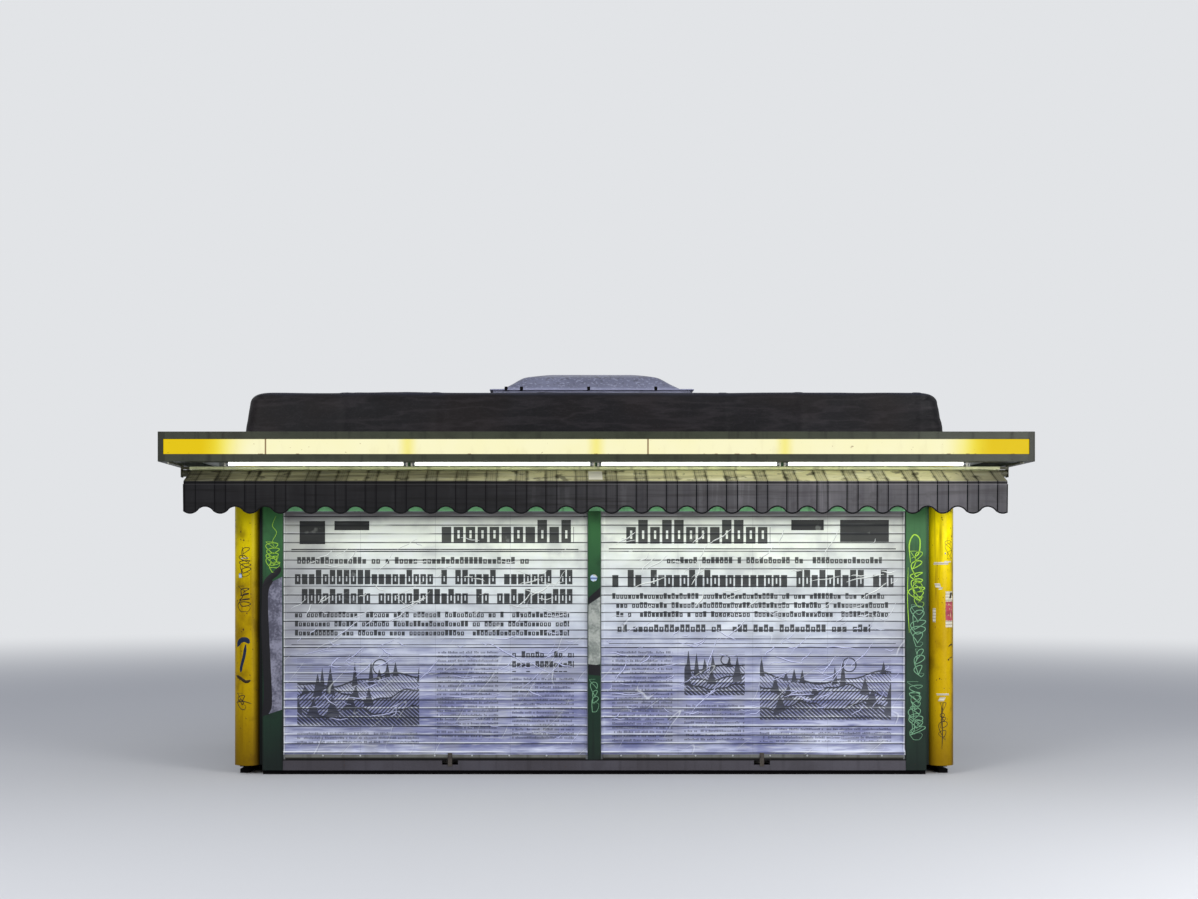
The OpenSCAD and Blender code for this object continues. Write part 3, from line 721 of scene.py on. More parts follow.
rivets = domed_head(rivet_radius, rivet_tall)
for side in ("left", "right"):
    low, high = span(f"bottom_bar_{side}")
    along = first_rivet + rivet_pitch * np.arange(-2, 20)
    along = along[(along > low[0] + rivet_margin) & (along < high[0] - rivet_margin)]
    places = stacked(along, low[1], high[2] - rivet_rise)
    solid(f"bottom_bar_rivets_{side}", *repeated(*rivets, places), bright_zinc, "guide_steel")

# %% [markdown]
# ## Posters pasted over the slats
#
# Two printed sheets paper the front from guide to guide. Wet paper sinks into every groove, lifts in
# bubbles between, and dries in sharp diagonal creases. One function says how far the paper stands
# before the slats, and the sheet and each crease use it, so they stay together. A cloth simulation
# could find these forms as well, but glued paper barely moves.

# %% How far the paper stands off
_, slat_face, slat_foot = curtain_low
guide_face = span("shutter_guides")[0][1]
bar_face, bar_top = bar_low[1], bar_high[2]
paper_clear = 0.0016
over_edge = 0.0012
paper_sink = 0.0046
bubble = 0.0018
strip_wide = 0.644
lap_step = 0.0006
seed_of = {"shutter_front_left": 21, "shutter_front_right": 33}


def paper_y(across, up, node):
    """Where the paper's face is: off the slats, sunk into the grooves, bubbled and lapped in strips.

    At its sides it steps over the guides' lips, and at its foot over the top of the bottom bar."""
    seed = seed_of[node]
    low, high = span(node)
    level = (up - slat_foot) / slat_pitch
    to_groove = np.minimum(level % 1, 1 - level % 1) * slat_pitch
    slack = 0.45 + 0.55 * eased(soft_noise(across * 2.2, np.round(level) * 3.7, seed), -0.7, 0.6)
    sink = paper_sink * slack * eased(0.0085 - to_groove, 0, 0.006)
    loose = eased(rough_noise(across * 5, up * 8, seed + 3), 0.05, 0.8)
    lift = bubble * loose * eased(to_groove, 0.004, 0.02)
    paper = slat_face - paper_clear + sink - lift - lap_step * (across / strip_wide % 1)
    beside = np.minimum(across - low[0], high[0] - across)
    paper = paper + (guide_face - over_edge - paper) * eased(beside, 0.013, -0.001)
    return paper + (bar_face - over_edge - paper) * eased(up, bar_top + 0.026, bar_top + 0.002)


# %% Paste the two sheets
paper_top = 2.255
paper_foot = 0.174
paper_lap = 0.0165
edge_wander = 0.0025
paper_columns = 150


def poster(name, node, look):
    """A grid on the paper's function, with a thin rim that runs back to the slats all round."""
    low, high = span(node)
    seed = seed_of[node]
    slats = slat_foot + slat_heights(paper_top - slat_foot)
    bridge = bar_top + np.array([0.001, 0.003, 0.007, 0.011, 0.015, 0.02])
    heights = join([[paper_foot], bridge, slats[slats > bridge[-1] + 0.004]])
    edge = np.array([0, 0.002, 0.004, 0.006, 0.008])
    share, up = np.meshgrid(join([edge, np.linspace(0.011, 0.989, paper_columns), 1 - edge[::-1]]), heights)
    wander = [edge_wander * np.abs(rough_noise(heights * 3, heights * 0, seed + n)) for n in (7, 8)]
    left = low[0] - paper_lap + wander[0]
    right = high[0] + paper_lap - wander[1]
    across = left[:, None] + share * (right - left)[:, None]
    up[0] += 0.004 * rough_noise(across[0] * 3, across[0] * 0, seed + 9)
    face = stacked(across, paper_y(across, up, node), up).reshape(-1, 3)
    rim = rim_of(*up.shape)
    behind = face[rim]
    behind[:, 1] = slat_face + 0.001
    back = len(face) + np.arange(len(rim))
    faces = [grid_faces(*up.shape), ring_faces(rim, back), back[None]]
    solid(name, join([face, behind]), faces, look, "slat_steel", crease=60)


# %% [markdown]
# A crease is a small tent of paper: a ridge two millimetres high that tapers to nothing at both
# ends. Most of them run up to the right, as the paper was smoothed from one side. Each is a profile
# of six points carried along a slightly bent line, and all of them are worked out at once.
# The tent is painted lighter than the paper as a highlight, and a flat strip below it is painted darker as
# its shadow.

# %% Fold the creases
crease_section = np.array([(-1.0, -0.25), (-0.45, 0.35), (0.0, 1.0), (0.3, 0.45), (1.0, -0.25), (0.0, -0.9)])
count, stations = 120, 18


def creases(name, node, seed):
    """Tents of paper along bent lines at chance places, each painted lighter as a highlight, with a strip of
    painted shadow below.
    """
    low, high = span(node)
    chance = np.random.default_rng(seed)
    length = chance.uniform(0.06, 0.3, count) * chance.uniform(0.5, 1.25, count)
    steep = chance.random(count) < 0.5
    angle = np.radians(np.where(steep, chance.normal(38, 14, count), chance.normal(-4, 13, count)))
    margin = 0.5 * length * np.abs(np.cos(angle)) + 0.02
    middle_x = low[0] + margin + chance.random(count) * (high[0] - low[0] - 2 * margin)
    in_belly = chance.random(count) < 0.72
    belly = chance.normal(0.95, 0.27, count).clip(0.32, 1.5)
    middle_z = np.where(in_belly, belly, chance.uniform(1.3, 2.05, count))
    share = np.linspace(-0.5, 0.5, stations)
    bend = chance.normal(0, 0.03, count)[:, None] * (share**2 - 0.08) + 0.004 * np.sin(share * 9 + seed)
    along = share * length[:, None]
    taper = (1 - (2 * np.abs(share)) ** 2.2)[None, :]
    half = chance.uniform(0.0022, 0.0046, count)[:, None] * (0.25 + 0.75 * taper)
    tall = chance.uniform(0.0009, 0.0026, count)[:, None] * taper
    cosine, sine = np.cos(angle)[:, None], np.sin(angle)[:, None]
    line_x = middle_x[:, None] + along * cosine - bend * sine
    line_z = middle_z[:, None] + along * sine + bend * cosine
    faces = [part + n * stations * 6 for n in range(count) for part in tube_faces(stations, 6)]
    # The lit tent is a painted highlight; the dark strip beside it is a painted shadow.
    sides = ("lit", lit_paper, 0.0, 1.0, 1.0), ("dark", shadow_paper, -1.5, 0.75, 0.3)
    for side, look, aside, wide, proud in sides:
        offset = (crease_section[:, 0] * wide + aside) * half[..., None]
        across = line_x[..., None] - offset * sine[..., None]
        up = line_z[..., None] + offset * cosine[..., None]
        out = crease_section[:, 1] * np.maximum(tall[..., None] * proud, 0.0003)
        points = stacked(across, paper_y(across, up, node) - out, up)
        solid(f"{name}_{side}", points, faces, look, "slat_steel", crease=70)


# %% [markdown]
# The print is a plain page that nobody can read: rows of blocks, rules, and pictures of bare hills. A
# row is arithmetic on the place: the distance along it divided by a block's width gives a cell, and
# chance numbers of the cell say whether it is a gap and how tall its block is. So the print stays
# sharp at any distance.

# %% Print rows of blocks and drawings of hills
hill_rows = [(0.62, 0.08, 5.0, 210, 0.6, 0.07), (0.42, 0.08, 8.0, -190, 0.1, 0.11),
             (0.2, 0.06, 12.0, 170, -0.6, 0.16)]


def inside(across, up, area):
    """1 within an area, which is its left, right, low and high."""
    left, right, low, high = area
    return (across > left) * (across < right) * (up > low) * (up < high)


def type_rows(look, across, up, area, cap, leading, block, seed):
    """Ink of plain blocks in rows: two heights of block, some with a slot, and gaps. 1 is ink."""
    left, _, _, high = area
    down = (high - up) / leading
    depth = down.fract() * leading
    along = (across - left) / block
    within = along.fract()
    first, second, third = look.chances(along.floor(), down.floor() + (seed + round(high * 50 + left * 20)))
    slot = (within > 0.32) * (within < 0.5) * (depth > 0.45 * cap) * (depth < 0.8 * cap) * (third < 0.6)
    body = (depth > (first < 0.6) * (0.3 * cap)) * (depth < cap) * (within < 0.8) * (1 - slot)
    return body * inside(across, up, area) * (second > 0.12)


def hills(look, across, up, area, seed):
    """A printed drawing: a ruled sky, a disc, and hatched hills with pointed trees along their lines."""
    left, right, low, high = area
    wide, tall = right - left, high - low
    aside, above, disc = across - (left + wide * 0.68), up - (low + tall * 0.8), tall * 0.1
    from_disc = (aside * aside + above * above).root()
    ink = ((up * 330).sin() > 0.7) * 0.45 * (from_disc > disc)
    ink = ink.most((from_disc - disc).abs() < 0.005)
    for n, (share, swing, waves, lean, light, tree) in enumerate(hill_rows):
        line = (across * waves + seed + 2.1 * n).sin() * (swing * tall) + (low + share * tall)
        line = line + (across * (waves * 3.7) + seed).sin() * (swing * tall * 0.25)
        hill = up < line
        hatch = (((across * lean + up * 190).sin() > light) * 0.95).most(0.06)
        first, second, _ = look.chances((across / tree).floor(), seed + n)
        climb = (up - line) / (first * 0.14 + 0.05)
        beside = ((across / tree).fract() - 0.5).abs() * tree
        trees = (beside < (1 - climb) * tree * 0.3) * (climb > -0.3) * (second > 0.5)
        ink = (ink * (1 - hill) + hill * hatch).most((up - line).abs() < 0.007).most(trees * 0.95)
    return ink * inside(across, up, area)


# %% Mix the paper, the print, the weather, and painted light and shade
# Painted light: the paper runs from cool lavender at the foot to cream high up, where the lamps shine.
paper_tones_by_light = [(0.28, tone(186, 191, 214)), (0.62, tone(174, 178, 206)), (0.98, tone(170, 175, 197)),
               (1.24, tone(192, 198, 206)), (1.6, tone(200, 206, 204)), (2.0, tone(226, 232, 216))]
wet, soaked, slat_shade = tone(86, 92, 134), tone(96, 99, 146), tone(80, 84, 124)
dull_paper_and_slat_shade, pale_paper_and_highlight, pale = tone(140, 142, 146), tone(222, 226, 228), tone(232, 234, 230)
shaded, ink_black, groove_dirt_and_shadow = tone(92, 87, 90), tone(16, 18, 18), tone(22, 24, 30)


def printed_paper(name, left_edge, rows, pictures, blocks, rules, seed):
    """Paper with painted light: cream high up under the lamps and cool at the foot, with ink, wet bands,
    grooves darkened by dirt and painted shadow, and painted shade and highlights along the slats and folds.
    """
    look = Look(name)
    ease, noise = look.ease, look.noise
    x, _, up = look.xyz()
    across = x - left_edge
    level = (up - slat_foot) / slat_pitch
    share = level.fract()
    to_groove = (0.5 - (share - 0.5).abs()) * slat_pitch
    clouds = noise(1.1, detail=4.0, shift=seed)
    mottle = noise(4.5, detail=4.0, shift=seed + 11)
    bands = noise(1.0, (0.9, 1, 13), 2.0, seed + 2)
    wave = noise(1.0, (2.4, 1, 13), 3.0, seed + 20)
    streaks = noise(1.0, (5, 1, 62), 3.0, seed + 40)
    soak = noise(1.0, (1.1, 1, 3.4), 4.0, seed + 31) + (bands - 0.5) * 0.5
    soak = soak + ease(across, 1.2, 0.0) * 0.09 + ease(up, 0.8, 0.3) * 0.05
    height = up + (clouds - 0.5) * 0.35
    # Grows from 0 at 1.45 m to 1 at 0.5 m, and makes the wet bands and the painted slat shade and highlights
    # stronger towards the foot.
    toward_foot = ease(up, 1.45, 0.5)
    sheet = look.layers(
        paper_tones_by_light[0][1],
        *[(ease(height, low, high), over) for (low, _), (high, over) in zip(paper_tones_by_light, paper_tones_by_light[1:])],
        (ease(bands, 0.46, 0.68) * (0.12 + toward_foot * 0.5), wet),
        # Each slat is painted a little darker at random, as shade from its tilt.
        (look.chances(level.floor(), seed)[0] * 0.25, dull_paper_and_slat_shade),
        (ease(soak, 0.42, 0.68) * toward_foot * 0.6, soaked),
        # Painted shade on each slat, darkest just under the groove above it, and painted glints and shade in
        # fine streaks; the mottle after them is random tone.
        (ease(share, 0.2, 0.95) * (ease(wave, 0.3, 0.62) * 0.6 + 0.4) * (0.1 + toward_foot * 0.72), slat_shade),
        (ease(wave, 0.5, 0.72) * (0.1 + toward_foot * 0.3), slat_shade),
        (ease(streaks, 0.52, 0.62) * toward_foot * 0.5, slat_shade),
        (ease(streaks, 0.42, 0.3) * toward_foot * 0.3, pale_paper_and_highlight),
        (ease(mottle, 0.46, 0.7) * 0.42, dull_paper_and_slat_shade),
        (ease(mottle, 0.5, 0.3) * (0.32 - toward_foot * 0.24), pale_paper_and_highlight),
        # Painted shadow under the awning at the top, and painted shade towards the outer edges of the pages.
        (ease(up, 2.16, 2.24) * 0.95, shaded),
        (ease(x.abs(), 1.95, 2.7) * ease(up, 0.9, 1.12) * (0.36 + (x < 0) * 0.24), shaded),
        (ease(x.abs(), 2.658, 2.662) * 0.4, pale),
    )
    marks = [type_rows(look, across, up, area, cap, leading, block, seed) * strength
             for area, (cap, leading, block, strength) in rows]
    marks += [hills(look, across, up, area, seed) * 0.9 for area in pictures]
    marks += [inside(across, up, area) * 0.97 for area in blocks]
    marks += [inside(across, up, (0.05, 2.52, middle - half, middle + half)) * 0.95 for middle, half in rules]
    ink = sum(marks)
    worn = ease(noise(9, detail=5.0, shift=seed + 5), 0.72, 0.64)
    uneven = ease(noise(1.0, (1.6, 1, 13), 2.0, seed), 0.3, 0.55)
    # A painted highlight on the paper just above each groove.
    lip_highlight = ease(share, 0.06, 0.1) * ease(share, 0.24, 0.16) * ease(wave, 0.62, 0.42)
    # Fold lines drawn in the shader: a painted highlight along each ridge and a painted shadow line beside
    # it.
    slanted = look.node("ShaderNodeCombineXYZ", sockets={0: (x + up) * 0.5, 1: (up - x) * 1.9, 2: seed})
    folds = look.node("ShaderNodeTexNoise", sockets={"Vector": slanted, "Scale": 1.7, "Detail": 0.6})
    folded = ease(mottle, 0.46, 0.6) * ease(up, 1.7, 1.3)
    ridge = ease((folds - 0.5).abs(), 0.006, 0.0) * folded
    fold_shadow = ease((folds - 0.512).abs(), 0.005, 0.0) * folded
    printed = look.layers(
        sheet,
        (ink * (0.84 + worn * 0.16), ink_black),
        # Dirt and painted shadow darken the grooves; the same colour draws the joints between the paper
        # strips.
        (ease(to_groove, 0.012, 0.003) * 0.08, groove_dirt_and_shadow),
        (ease(to_groove, 0.005, 0.003) * (0.28 + uneven * 0.7), groove_dirt_and_shadow),
        (ease((across / strip_wide).fract(), 0.006, 0.0) * 0.5, groove_dirt_and_shadow),
        (lip_highlight * (0.2 + toward_foot * 0.5) * (1 - ink * 0.85), pale_paper_and_highlight),
        (ridge * 0.4, pale_paper_and_highlight),
        (fold_shadow * 0.3, groove_dirt_and_shadow),
    )
    relief = noise(90, (0.5, 1, 1.6), 2.0) * 0.15 + mottle * 0.5 + ridge * 0.6
    return look.surface(printed, 0.5 - worn * 0.05, relief, 0.0016)


# %% Lay out the two pages
text, heading, lead = (0.02, 0.036, 0.014, 0.62), (0.05, 0.078, 0.034, 0.92), (0.055, 0.085, 0.04, 0.9)
page_left = printed_paper(
    "page_left",
    span("shutter_front_left")[0][0],
    rows=[
        ((1.24, 2.48, 1.975, 2.19), (0.2, 0.3, 0.103, 0.93)),
        ((0.10, 2.10, 1.80, 1.87), (0.058, 0.08, 0.04, 0.9)),
        ((0.08, 2.48, 1.45, 1.76), (0.125, 0.165, 0.06, 0.94)),
        ((0.08, 2.44, 1.17, 1.40), heading),
        ((1.30, 1.83, 0.30, 1.06), text),
        ((1.95, 2.48, 0.30, 0.83), text),
        ((1.95, 2.48, 0.88, 1.06), lead),
        ((0.10, 1.15, 0.26, 0.36), text),
    ],
    pictures=[(0.10, 1.15, 0.42, 1.05)],
    blocks=[(0.12, 0.34, 1.98, 2.18), (0.42, 0.72, 2.1, 2.18)],
    rules=[(1.935, 0.005), (1.915, 0.002), (1.115, 0.003)],
    seed=3.0,
)
page_right = printed_paper(
    "page_right",
    span("shutter_front_right")[0][0],
    rows=[
        ((0.20, 1.44, 1.975, 2.19), (0.205, 0.3, 0.103, 0.93)),
        ((0.55, 2.40, 1.80, 1.87), (0.055, 0.08, 0.038, 0.9)),
        ((0.08, 2.50, 1.60, 1.76), (0.15, 0.18, 0.066, 0.94)),
        ((0.08, 2.46, 1.33, 1.56), heading),
        ((0.08, 2.30, 1.20, 1.29), (0.065, 0.09, 0.045, 0.9)),
        ((0.08, 0.60, 0.28, 1.06), text),
        ((0.70, 1.22, 0.28, 0.60), text),
        ((1.35, 2.48, 0.28, 0.40), text),
    ],
    pictures=[(1.35, 2.48, 0.47, 1.06), (0.70, 1.22, 0.68, 1.06)],
    blocks=[(2.04, 2.46, 2.0, 2.19), (1.62, 1.9, 2.1, 2.19)],
    rules=[(1.94, 0.005), (1.92, 0.002), (1.125, 0.003)],
    seed=8.0,
)


# %% Hang them, and fold their creases
def folded_paper(name, above, below):
    """One side of a crease, painted lit or in shadow, with a tone for the top of the page under the lamps and
    a cooler one for its foot.
    """
    look = Look(name)
    colour = look.mix(look.ease(look.xyz()[2], 1.6, 1.0), above, below)
    return look.surface(colour, 0.5, look.noise(120, detail=2.0), 0.0003)


lit_paper = folded_paper("crease_lit", tone(216, 220, 214), tone(184, 188, 218))
shadow_paper = folded_paper("crease_shadow", tone(138, 142, 140), tone(86, 88, 114))

for side, look in (("left", page_left), ("right", page_right)):
    node = f"shutter_front_{side}"
    poster(f"poster_{side}", node, look)
    creases(f"poster_creases_{side}", node, seed_of[node] + 40)

# %% [markdown]
# ## Lit fascia and lamp tubes
#
# The fascia is a light box: opal sheets glow behind its long window, brightest over the tubes inside
# and duller where two tubes meet and towards the corners. An emission colour that changes along the
# sheet gives that. Real tubes behind a scattering sheet would look the same and cost much more.

# %% Make the sheets glow
sign_bright, sign_yellow = tone(253, 249, 206), tone(246, 232, 70)
sign_amber, sign_joint = tone(230, 198, 0), tone(120, 66, 10)
sheet_long = 3.15
lamp_step = 1.554
tube_gaps = [lamp_step * n for n in (-1, 0, 1)]
(_, _, window_low), (window, _, window_high) = span("sign_panel_front")


def lit_sheet(name, axis, end, gaps, joints):
    """Opal plastic lit from behind: cream over the tubes, yellow in their gaps and at the ends."""
    look = Look(name)
    ease, noise = look.ease, look.noise
    place = look.xyz()
    along, height = place[axis], place[2]
    reach = along.abs()
    clouds = noise(3.0)
    uneven = clouds - 0.5
    faded = ease(reach + uneven * 0.06, end - 0.76, end - 0.4)
    for gap in gaps:
        faded = faded.most(ease((along - gap).abs() + uneven * 0.03, 0.1, 0.0) * 0.6)
    rim = ease(height, window_low + 0.008, window_low + 0.002)
    rim = rim.most(ease(height, window_high - 0.008, window_high - 0.001))
    rim = rim.most(ease(reach, end - 0.016, end - 0.004))
    grime = ease(noise(24, (1, 1, 1.6), 4.0, 3.0), 0.68, 0.73) * 0.6
    grime = grime.most(ease(noise(5, (3, 3, 1), 4.0, 7.0) + (window_high - height), 0.62, 0.8) * 0.05)
    lump = ease(noise(13, (1, 1, 0.3), 3.0, 9.0), 0.62, 0.65)
    lump = lump * ease(height, window_low + 0.02, window_low + 0.012)
    glow = look.layers(
        sign_bright,
        (ease(clouds, 0.35, 0.7) * 0.08, sign_yellow),
        (faded, sign_yellow),
        (ease(reach + uneven * 0.05, end - 0.56, end - 0.3), sign_amber),
        *[(ease((along - joint).abs(), 0.009, 0.004) * 0.8, sign_joint) for joint in joints],
        (rim * 0.75, sign_joint),
        (grime.most(lump), sign_joint),
    )
    more = {"Emission Color": glow, "Emission Strength": 0.97}
    return look.surface(tone(14, 12, 0), 0.5, clouds, 0.0004, 0.08, more)


joints = [window - sheet_long, window - 2 * sheet_long]
side_window = span("sign_panels_side")[1][1]
for node, *glow in (("sign_panel_front", "opal_sheet_front", 0, window, tube_gaps, joints),
                    ("sign_panel_back", "opal_sheet_back", 0, window, tube_gaps, [-x for x in joints]),
                    ("sign_panels_side", "opal_sheet_side", 1, side_window, [0.0], [])):
    rounded(node, lit_sheet(*glow), "sign_acrylic", 0.0008)

# %% Let a little light out
slot_x, slot_half, slot_reach = 3.566, 0.004, 1.66
fascia_foot = span("fascia_front")[0][2]
slot_corner = np.array([slot_half, slot_reach, 0])
lit_slots = [box((x, 0, fascia_foot - 0.0006) - slot_corner, (x, 0, fascia_foot + 0.001) + slot_corner)
             for x in (-slot_x, slot_x)]
slot_light = Look("slot_light")
slot_cloud = slot_light.noise(8)
slot_glow = slot_light.mix(slot_cloud, tone(236, 236, 200), tone(250, 250, 226))
slot_more = {"Emission Color": slot_glow, "Emission Strength": 0.95}
slot_light.surface(tone(60, 60, 50), 0.4, slot_cloud, 0.0002, more=slot_more)
solid("fascia_light_slots", *together(*lit_slots), slot_light, "sign_acrylic")

# %% [markdown]
# The tubes under the canopy are glass with a metal cap at each end. They are turned about their own
# length, and their light falls on the awning and on the panels over the shutters.

# %% Light the four tubes
tube_light = Look("lamp_glass")
tube_glow = {"Emission Color": tone(252, 255, 240), "Emission Strength": 3.0}
tube_light.surface(tone(240, 240, 235), 0.2, tube_light.noise(40), 0.0001, more=tube_glow)


def rod(node):
    """The radius and the middle of a round bar that lies along the kiosk."""
    low, high = span(node)
    return (high[2] - low[2]) / 2, (low[1] + high[1]) / 2, (low[2] + high[2]) / 2


tube_radius, *tube_middle = rod("lamp_tubes")
tube_centre = (0, *tube_middle)
tube_long = 1.5
cap_long, cap_wall = 0.022, 0.001
lamp_count = 4
lamp_places = [((n - (lamp_count - 1) / 2) * lamp_step, 0, 0) for n in range(lamp_count)]

end = tube_long / 2
glass_line = stacked(tube_radius - cap_wall, np.linspace(-end + cap_long, end - cap_long, 5))
glass = turned(glass_line, tube_centre, 0, 32)
solid("tubes_of_glass", *repeated(*glass, lamp_places), tube_light, "lamp_glass", replaces=["lamp_tubes"])


def round_end(radius, end, rounding):
    """A line of (radius, along) points that rounds the edge of a rod's end."""
    turn = np.radians(np.linspace(0, 90, 5))
    return stacked(radius - rounding * (1 - np.cos(turn)), end - rounding + rounding * np.sin(turn))


cap_line = join([[(tube_radius, end - cap_long)], round_end(tube_radius, end, 0.003)])
caps = [turned(cap_line * (1, side), tube_centre, 0, 32) for side in (1, -1)]
solid("tube_caps", *repeated(*together(*caps), lamp_places), aluminium, "awning_metal")

# %% [markdown]
# ## The awning
#
# The cloth leaves its roller, slopes down over the front bar and hangs as a valance with a scalloped
# edge. It is one surface of two numbers: how far along the kiosk, and how far down the cloth. The
# slope sags, the valance swings a little more towards its edge, and its last row follows the
# scallops. Solidify gives it the thickness of canvas afterwards.

# %% The line of the cloth
bar_radius, bar_y, bar_z = rod("awning_front_bar")
cloth_half = span("awning_front_bar")[1][0]
roller_y, roller_z, roller_radius = -1.34, 2.585, 0.03
valance_tall = 0.261
scallop_pitch = 0.2525
scallop_tall = 0.059
scallop_margin = 0.036
scallop_round = 0.72
cloth_clear = 0.0012
wrap = bar_radius + cloth_clear

reach, drop = roller_y - bar_y, roller_z - bar_z
slope = math.atan2(drop, reach) - math.asin((roller_radius - bar_radius) / math.hypot(reach, drop))
slope_rows, bend_rows, valance_rows = 14, 9, 18
slope_sag, slope_pucker, edge_swing, edge_drift, cloth_ripple = 0.006, 0.0035, 0.0035, 0.009, 0.0012


def valance_edge(along):
    """The height of the scalloped edge: a cosine along the kiosk, with a power that rounds its tops."""
    wave = np.cos(2 * math.pi * (along - cloth_half + scallop_margin) / scallop_pitch)
    return bar_z - valance_tall + scallop_tall / 2 * (1 - np.sign(wave) * np.abs(wave) ** scallop_round)


def cloth_points(along):
    """The cloth at places along the kiosk: a sagging slope, a bend round the bar and a swinging valance."""
    along = along[None, :]
    share = np.linspace(0, 1, slope_rows)[:, None]
    normal_y, normal_z = -math.sin(slope), math.cos(slope)
    start_y, start_z = roller_y + roller_radius * normal_y, roller_z + roller_radius * normal_z
    slack = slope_sag * np.sin(math.pi * share) * (0.5 + 0.5 * rough_noise(along * 1.6, share * 2, 51))
    slack = slack - slope_pucker * np.sin(math.pi * share) * rough_noise(along * 9 + share * 3, share * 3, 52)
    slope_y = start_y + (bar_y + wrap * normal_y - start_y) * share - slack * normal_y
    slope_z = start_z + (bar_z + wrap * normal_z - start_z) * share - slack * normal_z
    angle = slope + (math.pi / 2 - slope) * np.linspace(0, 1, bend_rows)[1:, None] + 0 * along
    down = np.linspace(0, 1, valance_rows)[1:, None]
    hang_z = bar_z + (valance_edge(along) - bar_z) * down
    swing = edge_swing * np.sin(2 * math.pi * along / scallop_pitch + 2 * rough_noise(along, 0 * along, 53))
    swing = swing + edge_drift * rough_noise(along * 1.4, 0 * along, 54) * (0.5 + eased(along, 2.2, 3.4))
    ripple = cloth_ripple * rough_noise(along * 3, hang_z * 30, 55)
    hang_y = bar_y - wrap + (swing + 0.003) * down**1.3 + ripple * down
    y = join([slope_y, bar_y - wrap * np.sin(angle), hang_y])
    return stacked(along, y, join([slope_z, bar_z + wrap * np.cos(angle), hang_z]))


print("the cloth slopes by", round(math.degrees(slope), 1), "degrees")

# %% [markdown]
# The canvas is grey with a pair of dark threads beside each scallop's lowest point, and finer threads
# between them. Years of dirt have run along it, and it darkens to almost black towards its left end.
# Its slope is painted light where the lamps shine on it, with painted shade and highlights in its folds.

# %% Weave the canvas
def striped_canvas():
    """Threads at distances from each scallop's lowest point, painted fold shading, runs of dirt, a darker
    left end, and a slope painted with the lamps' light.
    """
    look = Look("awning_canvas")
    ease, noise = look.ease, look.noise
    along, front, height = look.xyz()
    turns = (along - cloth_half + scallop_margin) / scallop_pitch
    from_low = (0.5 - (turns.fract() - 0.5).abs()) * scallop_pitch
    pair = ease((from_low - 0.046).abs(), 0.0062, 0.0038)
    inner, core, outer = (ease((from_low - at).abs(), 0.003, 0.001) for at in (0.034, 0.008, 0.058))
    sloping = ease(height, 2.5, 2.512)
    hanging = 1 - sloping
    clouds = noise(1.5, detail=4.0)
    run = noise(1.0, (1.6, 1, 42), 4.0, 5.0)
    blots = noise(9, detail=4.0, shift=2.0)
    folds = noise(1.0, (13, 1, 1.2), 3.0, 8.0)
    wrinkles = noise(1.0, (3, 1, 30), 3.0, 9.0)
    # Darker towards the left end, to almost black.
    left_darkening = ease(along + (clouds - 0.5) * 1.6, 2.2, -1.3)
    slope_left_darkening = ease(along + (clouds - 0.5) * 1.4, 1.3, -2.2)
    dirty = ease(run, 0.45, 0.7) * (0.36 + left_darkening * 0.35 - sloping * 0.1)
    dirty = dirty.most(ease(blots, 0.55, 0.68) * (0.25 + sloping * 0.45))
    smudge = ease((from_low - 0.046).abs(), 0.026, 0.004) * ease(blots, 0.4, 0.6) * sloping
    before_bar = front < bar_y
    # A painted highlight along the hem bar's edge.
    hem_highlight = ease((height - 2.476).abs(), 0.0035, 0.002)
    fibre = look.layers(
        tone(90, 88, 91),
        (ease(clouds, 0.3, 0.7), tone(74, 73, 75)),
        # Painted shade and highlight along the folds, and painted highlights along the wrinkles of the slope.
        (ease(folds, 0.42, 0.68) * 0.4, tone(58, 56, 62)),
        (ease(folds, 0.42, 0.3) * 0.3, tone(122, 120, 124)),
        # Painted lamp light on the slope; further down, painted shade on its lower part near the bar, and
        # darker towards its right end, past the lamps.
        (sloping, tone(236, 231, 182)),
        (ease(wrinkles, 0.52, 0.68) * sloping * 0.6, tone(252, 250, 214)),
        ((from_low < 0.046) * 0.25 + core * 0.3 + outer * 0.3, tone(66, 65, 68)),
        (dirty, tone(46, 44, 42)),
        (left_darkening * hanging * 0.9 + slope_left_darkening * sloping * 0.66, tone(20, 20, 21)),
        (smudge * 0.6, tone(40, 38, 28)),
        (ease(height, 2.585, 2.525) * sloping * 0.3, tone(52, 48, 30)),
        (ease(along, 2.85, 3.4) * sloping * 0.62, tone(84, 82, 74)),
        (((along - 0.003).abs() < 0.058) * (height > 2.518) * (height < 2.6) * 0.85, tone(226, 224, 214)),
        ((pair + inner * 0.45) * (1 - left_darkening * 0.2) * (1 - sloping * 0.3), tone(5, 5, 7)),
        (ease((height - 2.489).abs(), 0.006, 0.004) * before_bar * 0.9, tone(9, 9, 10)),
        (hem_highlight * before_bar * (1 - left_darkening * 0.7) * 0.2, tone(150, 148, 150)),
    )
    weave = noise(420, (1, 1, 0.4), 1.0)
    return look.surface(fibre, 0.85, weave * 0.6 + blots * 0.5, 0.0008, 0.08)


tape = Look("edge_tape")
tape_cloud = tape.noise(30)
tape.surface(tape.mix(tape_cloud, tone(8, 8, 9), tone(20, 20, 22)), 0.7, tape_cloud, 0.0004, 0.08)

# %% Cut and hang the cloth
steps_per_scallop = 20
canvas_thick = 0.0012
places = np.linspace(-cloth_half, cloth_half, round(2 * cloth_half / scallop_pitch * steps_per_scallop))
cloth = cloth_points(places)
cloth_mesh = mesh_from("awning_canvas", cloth, [grid_faces(*cloth.shape[:2])[:, ::-1]])
awning = piece(cloth_mesh, striped_canvas(), "awning_cloth", replaces=["awning_cloth"], crease=60,
               wall=canvas_thick)


# %% [markdown]
# Black tape binds the scallops and both ends. It is a flat oval carried along the edge, and the
# oval is turned so that it stays square to the line.

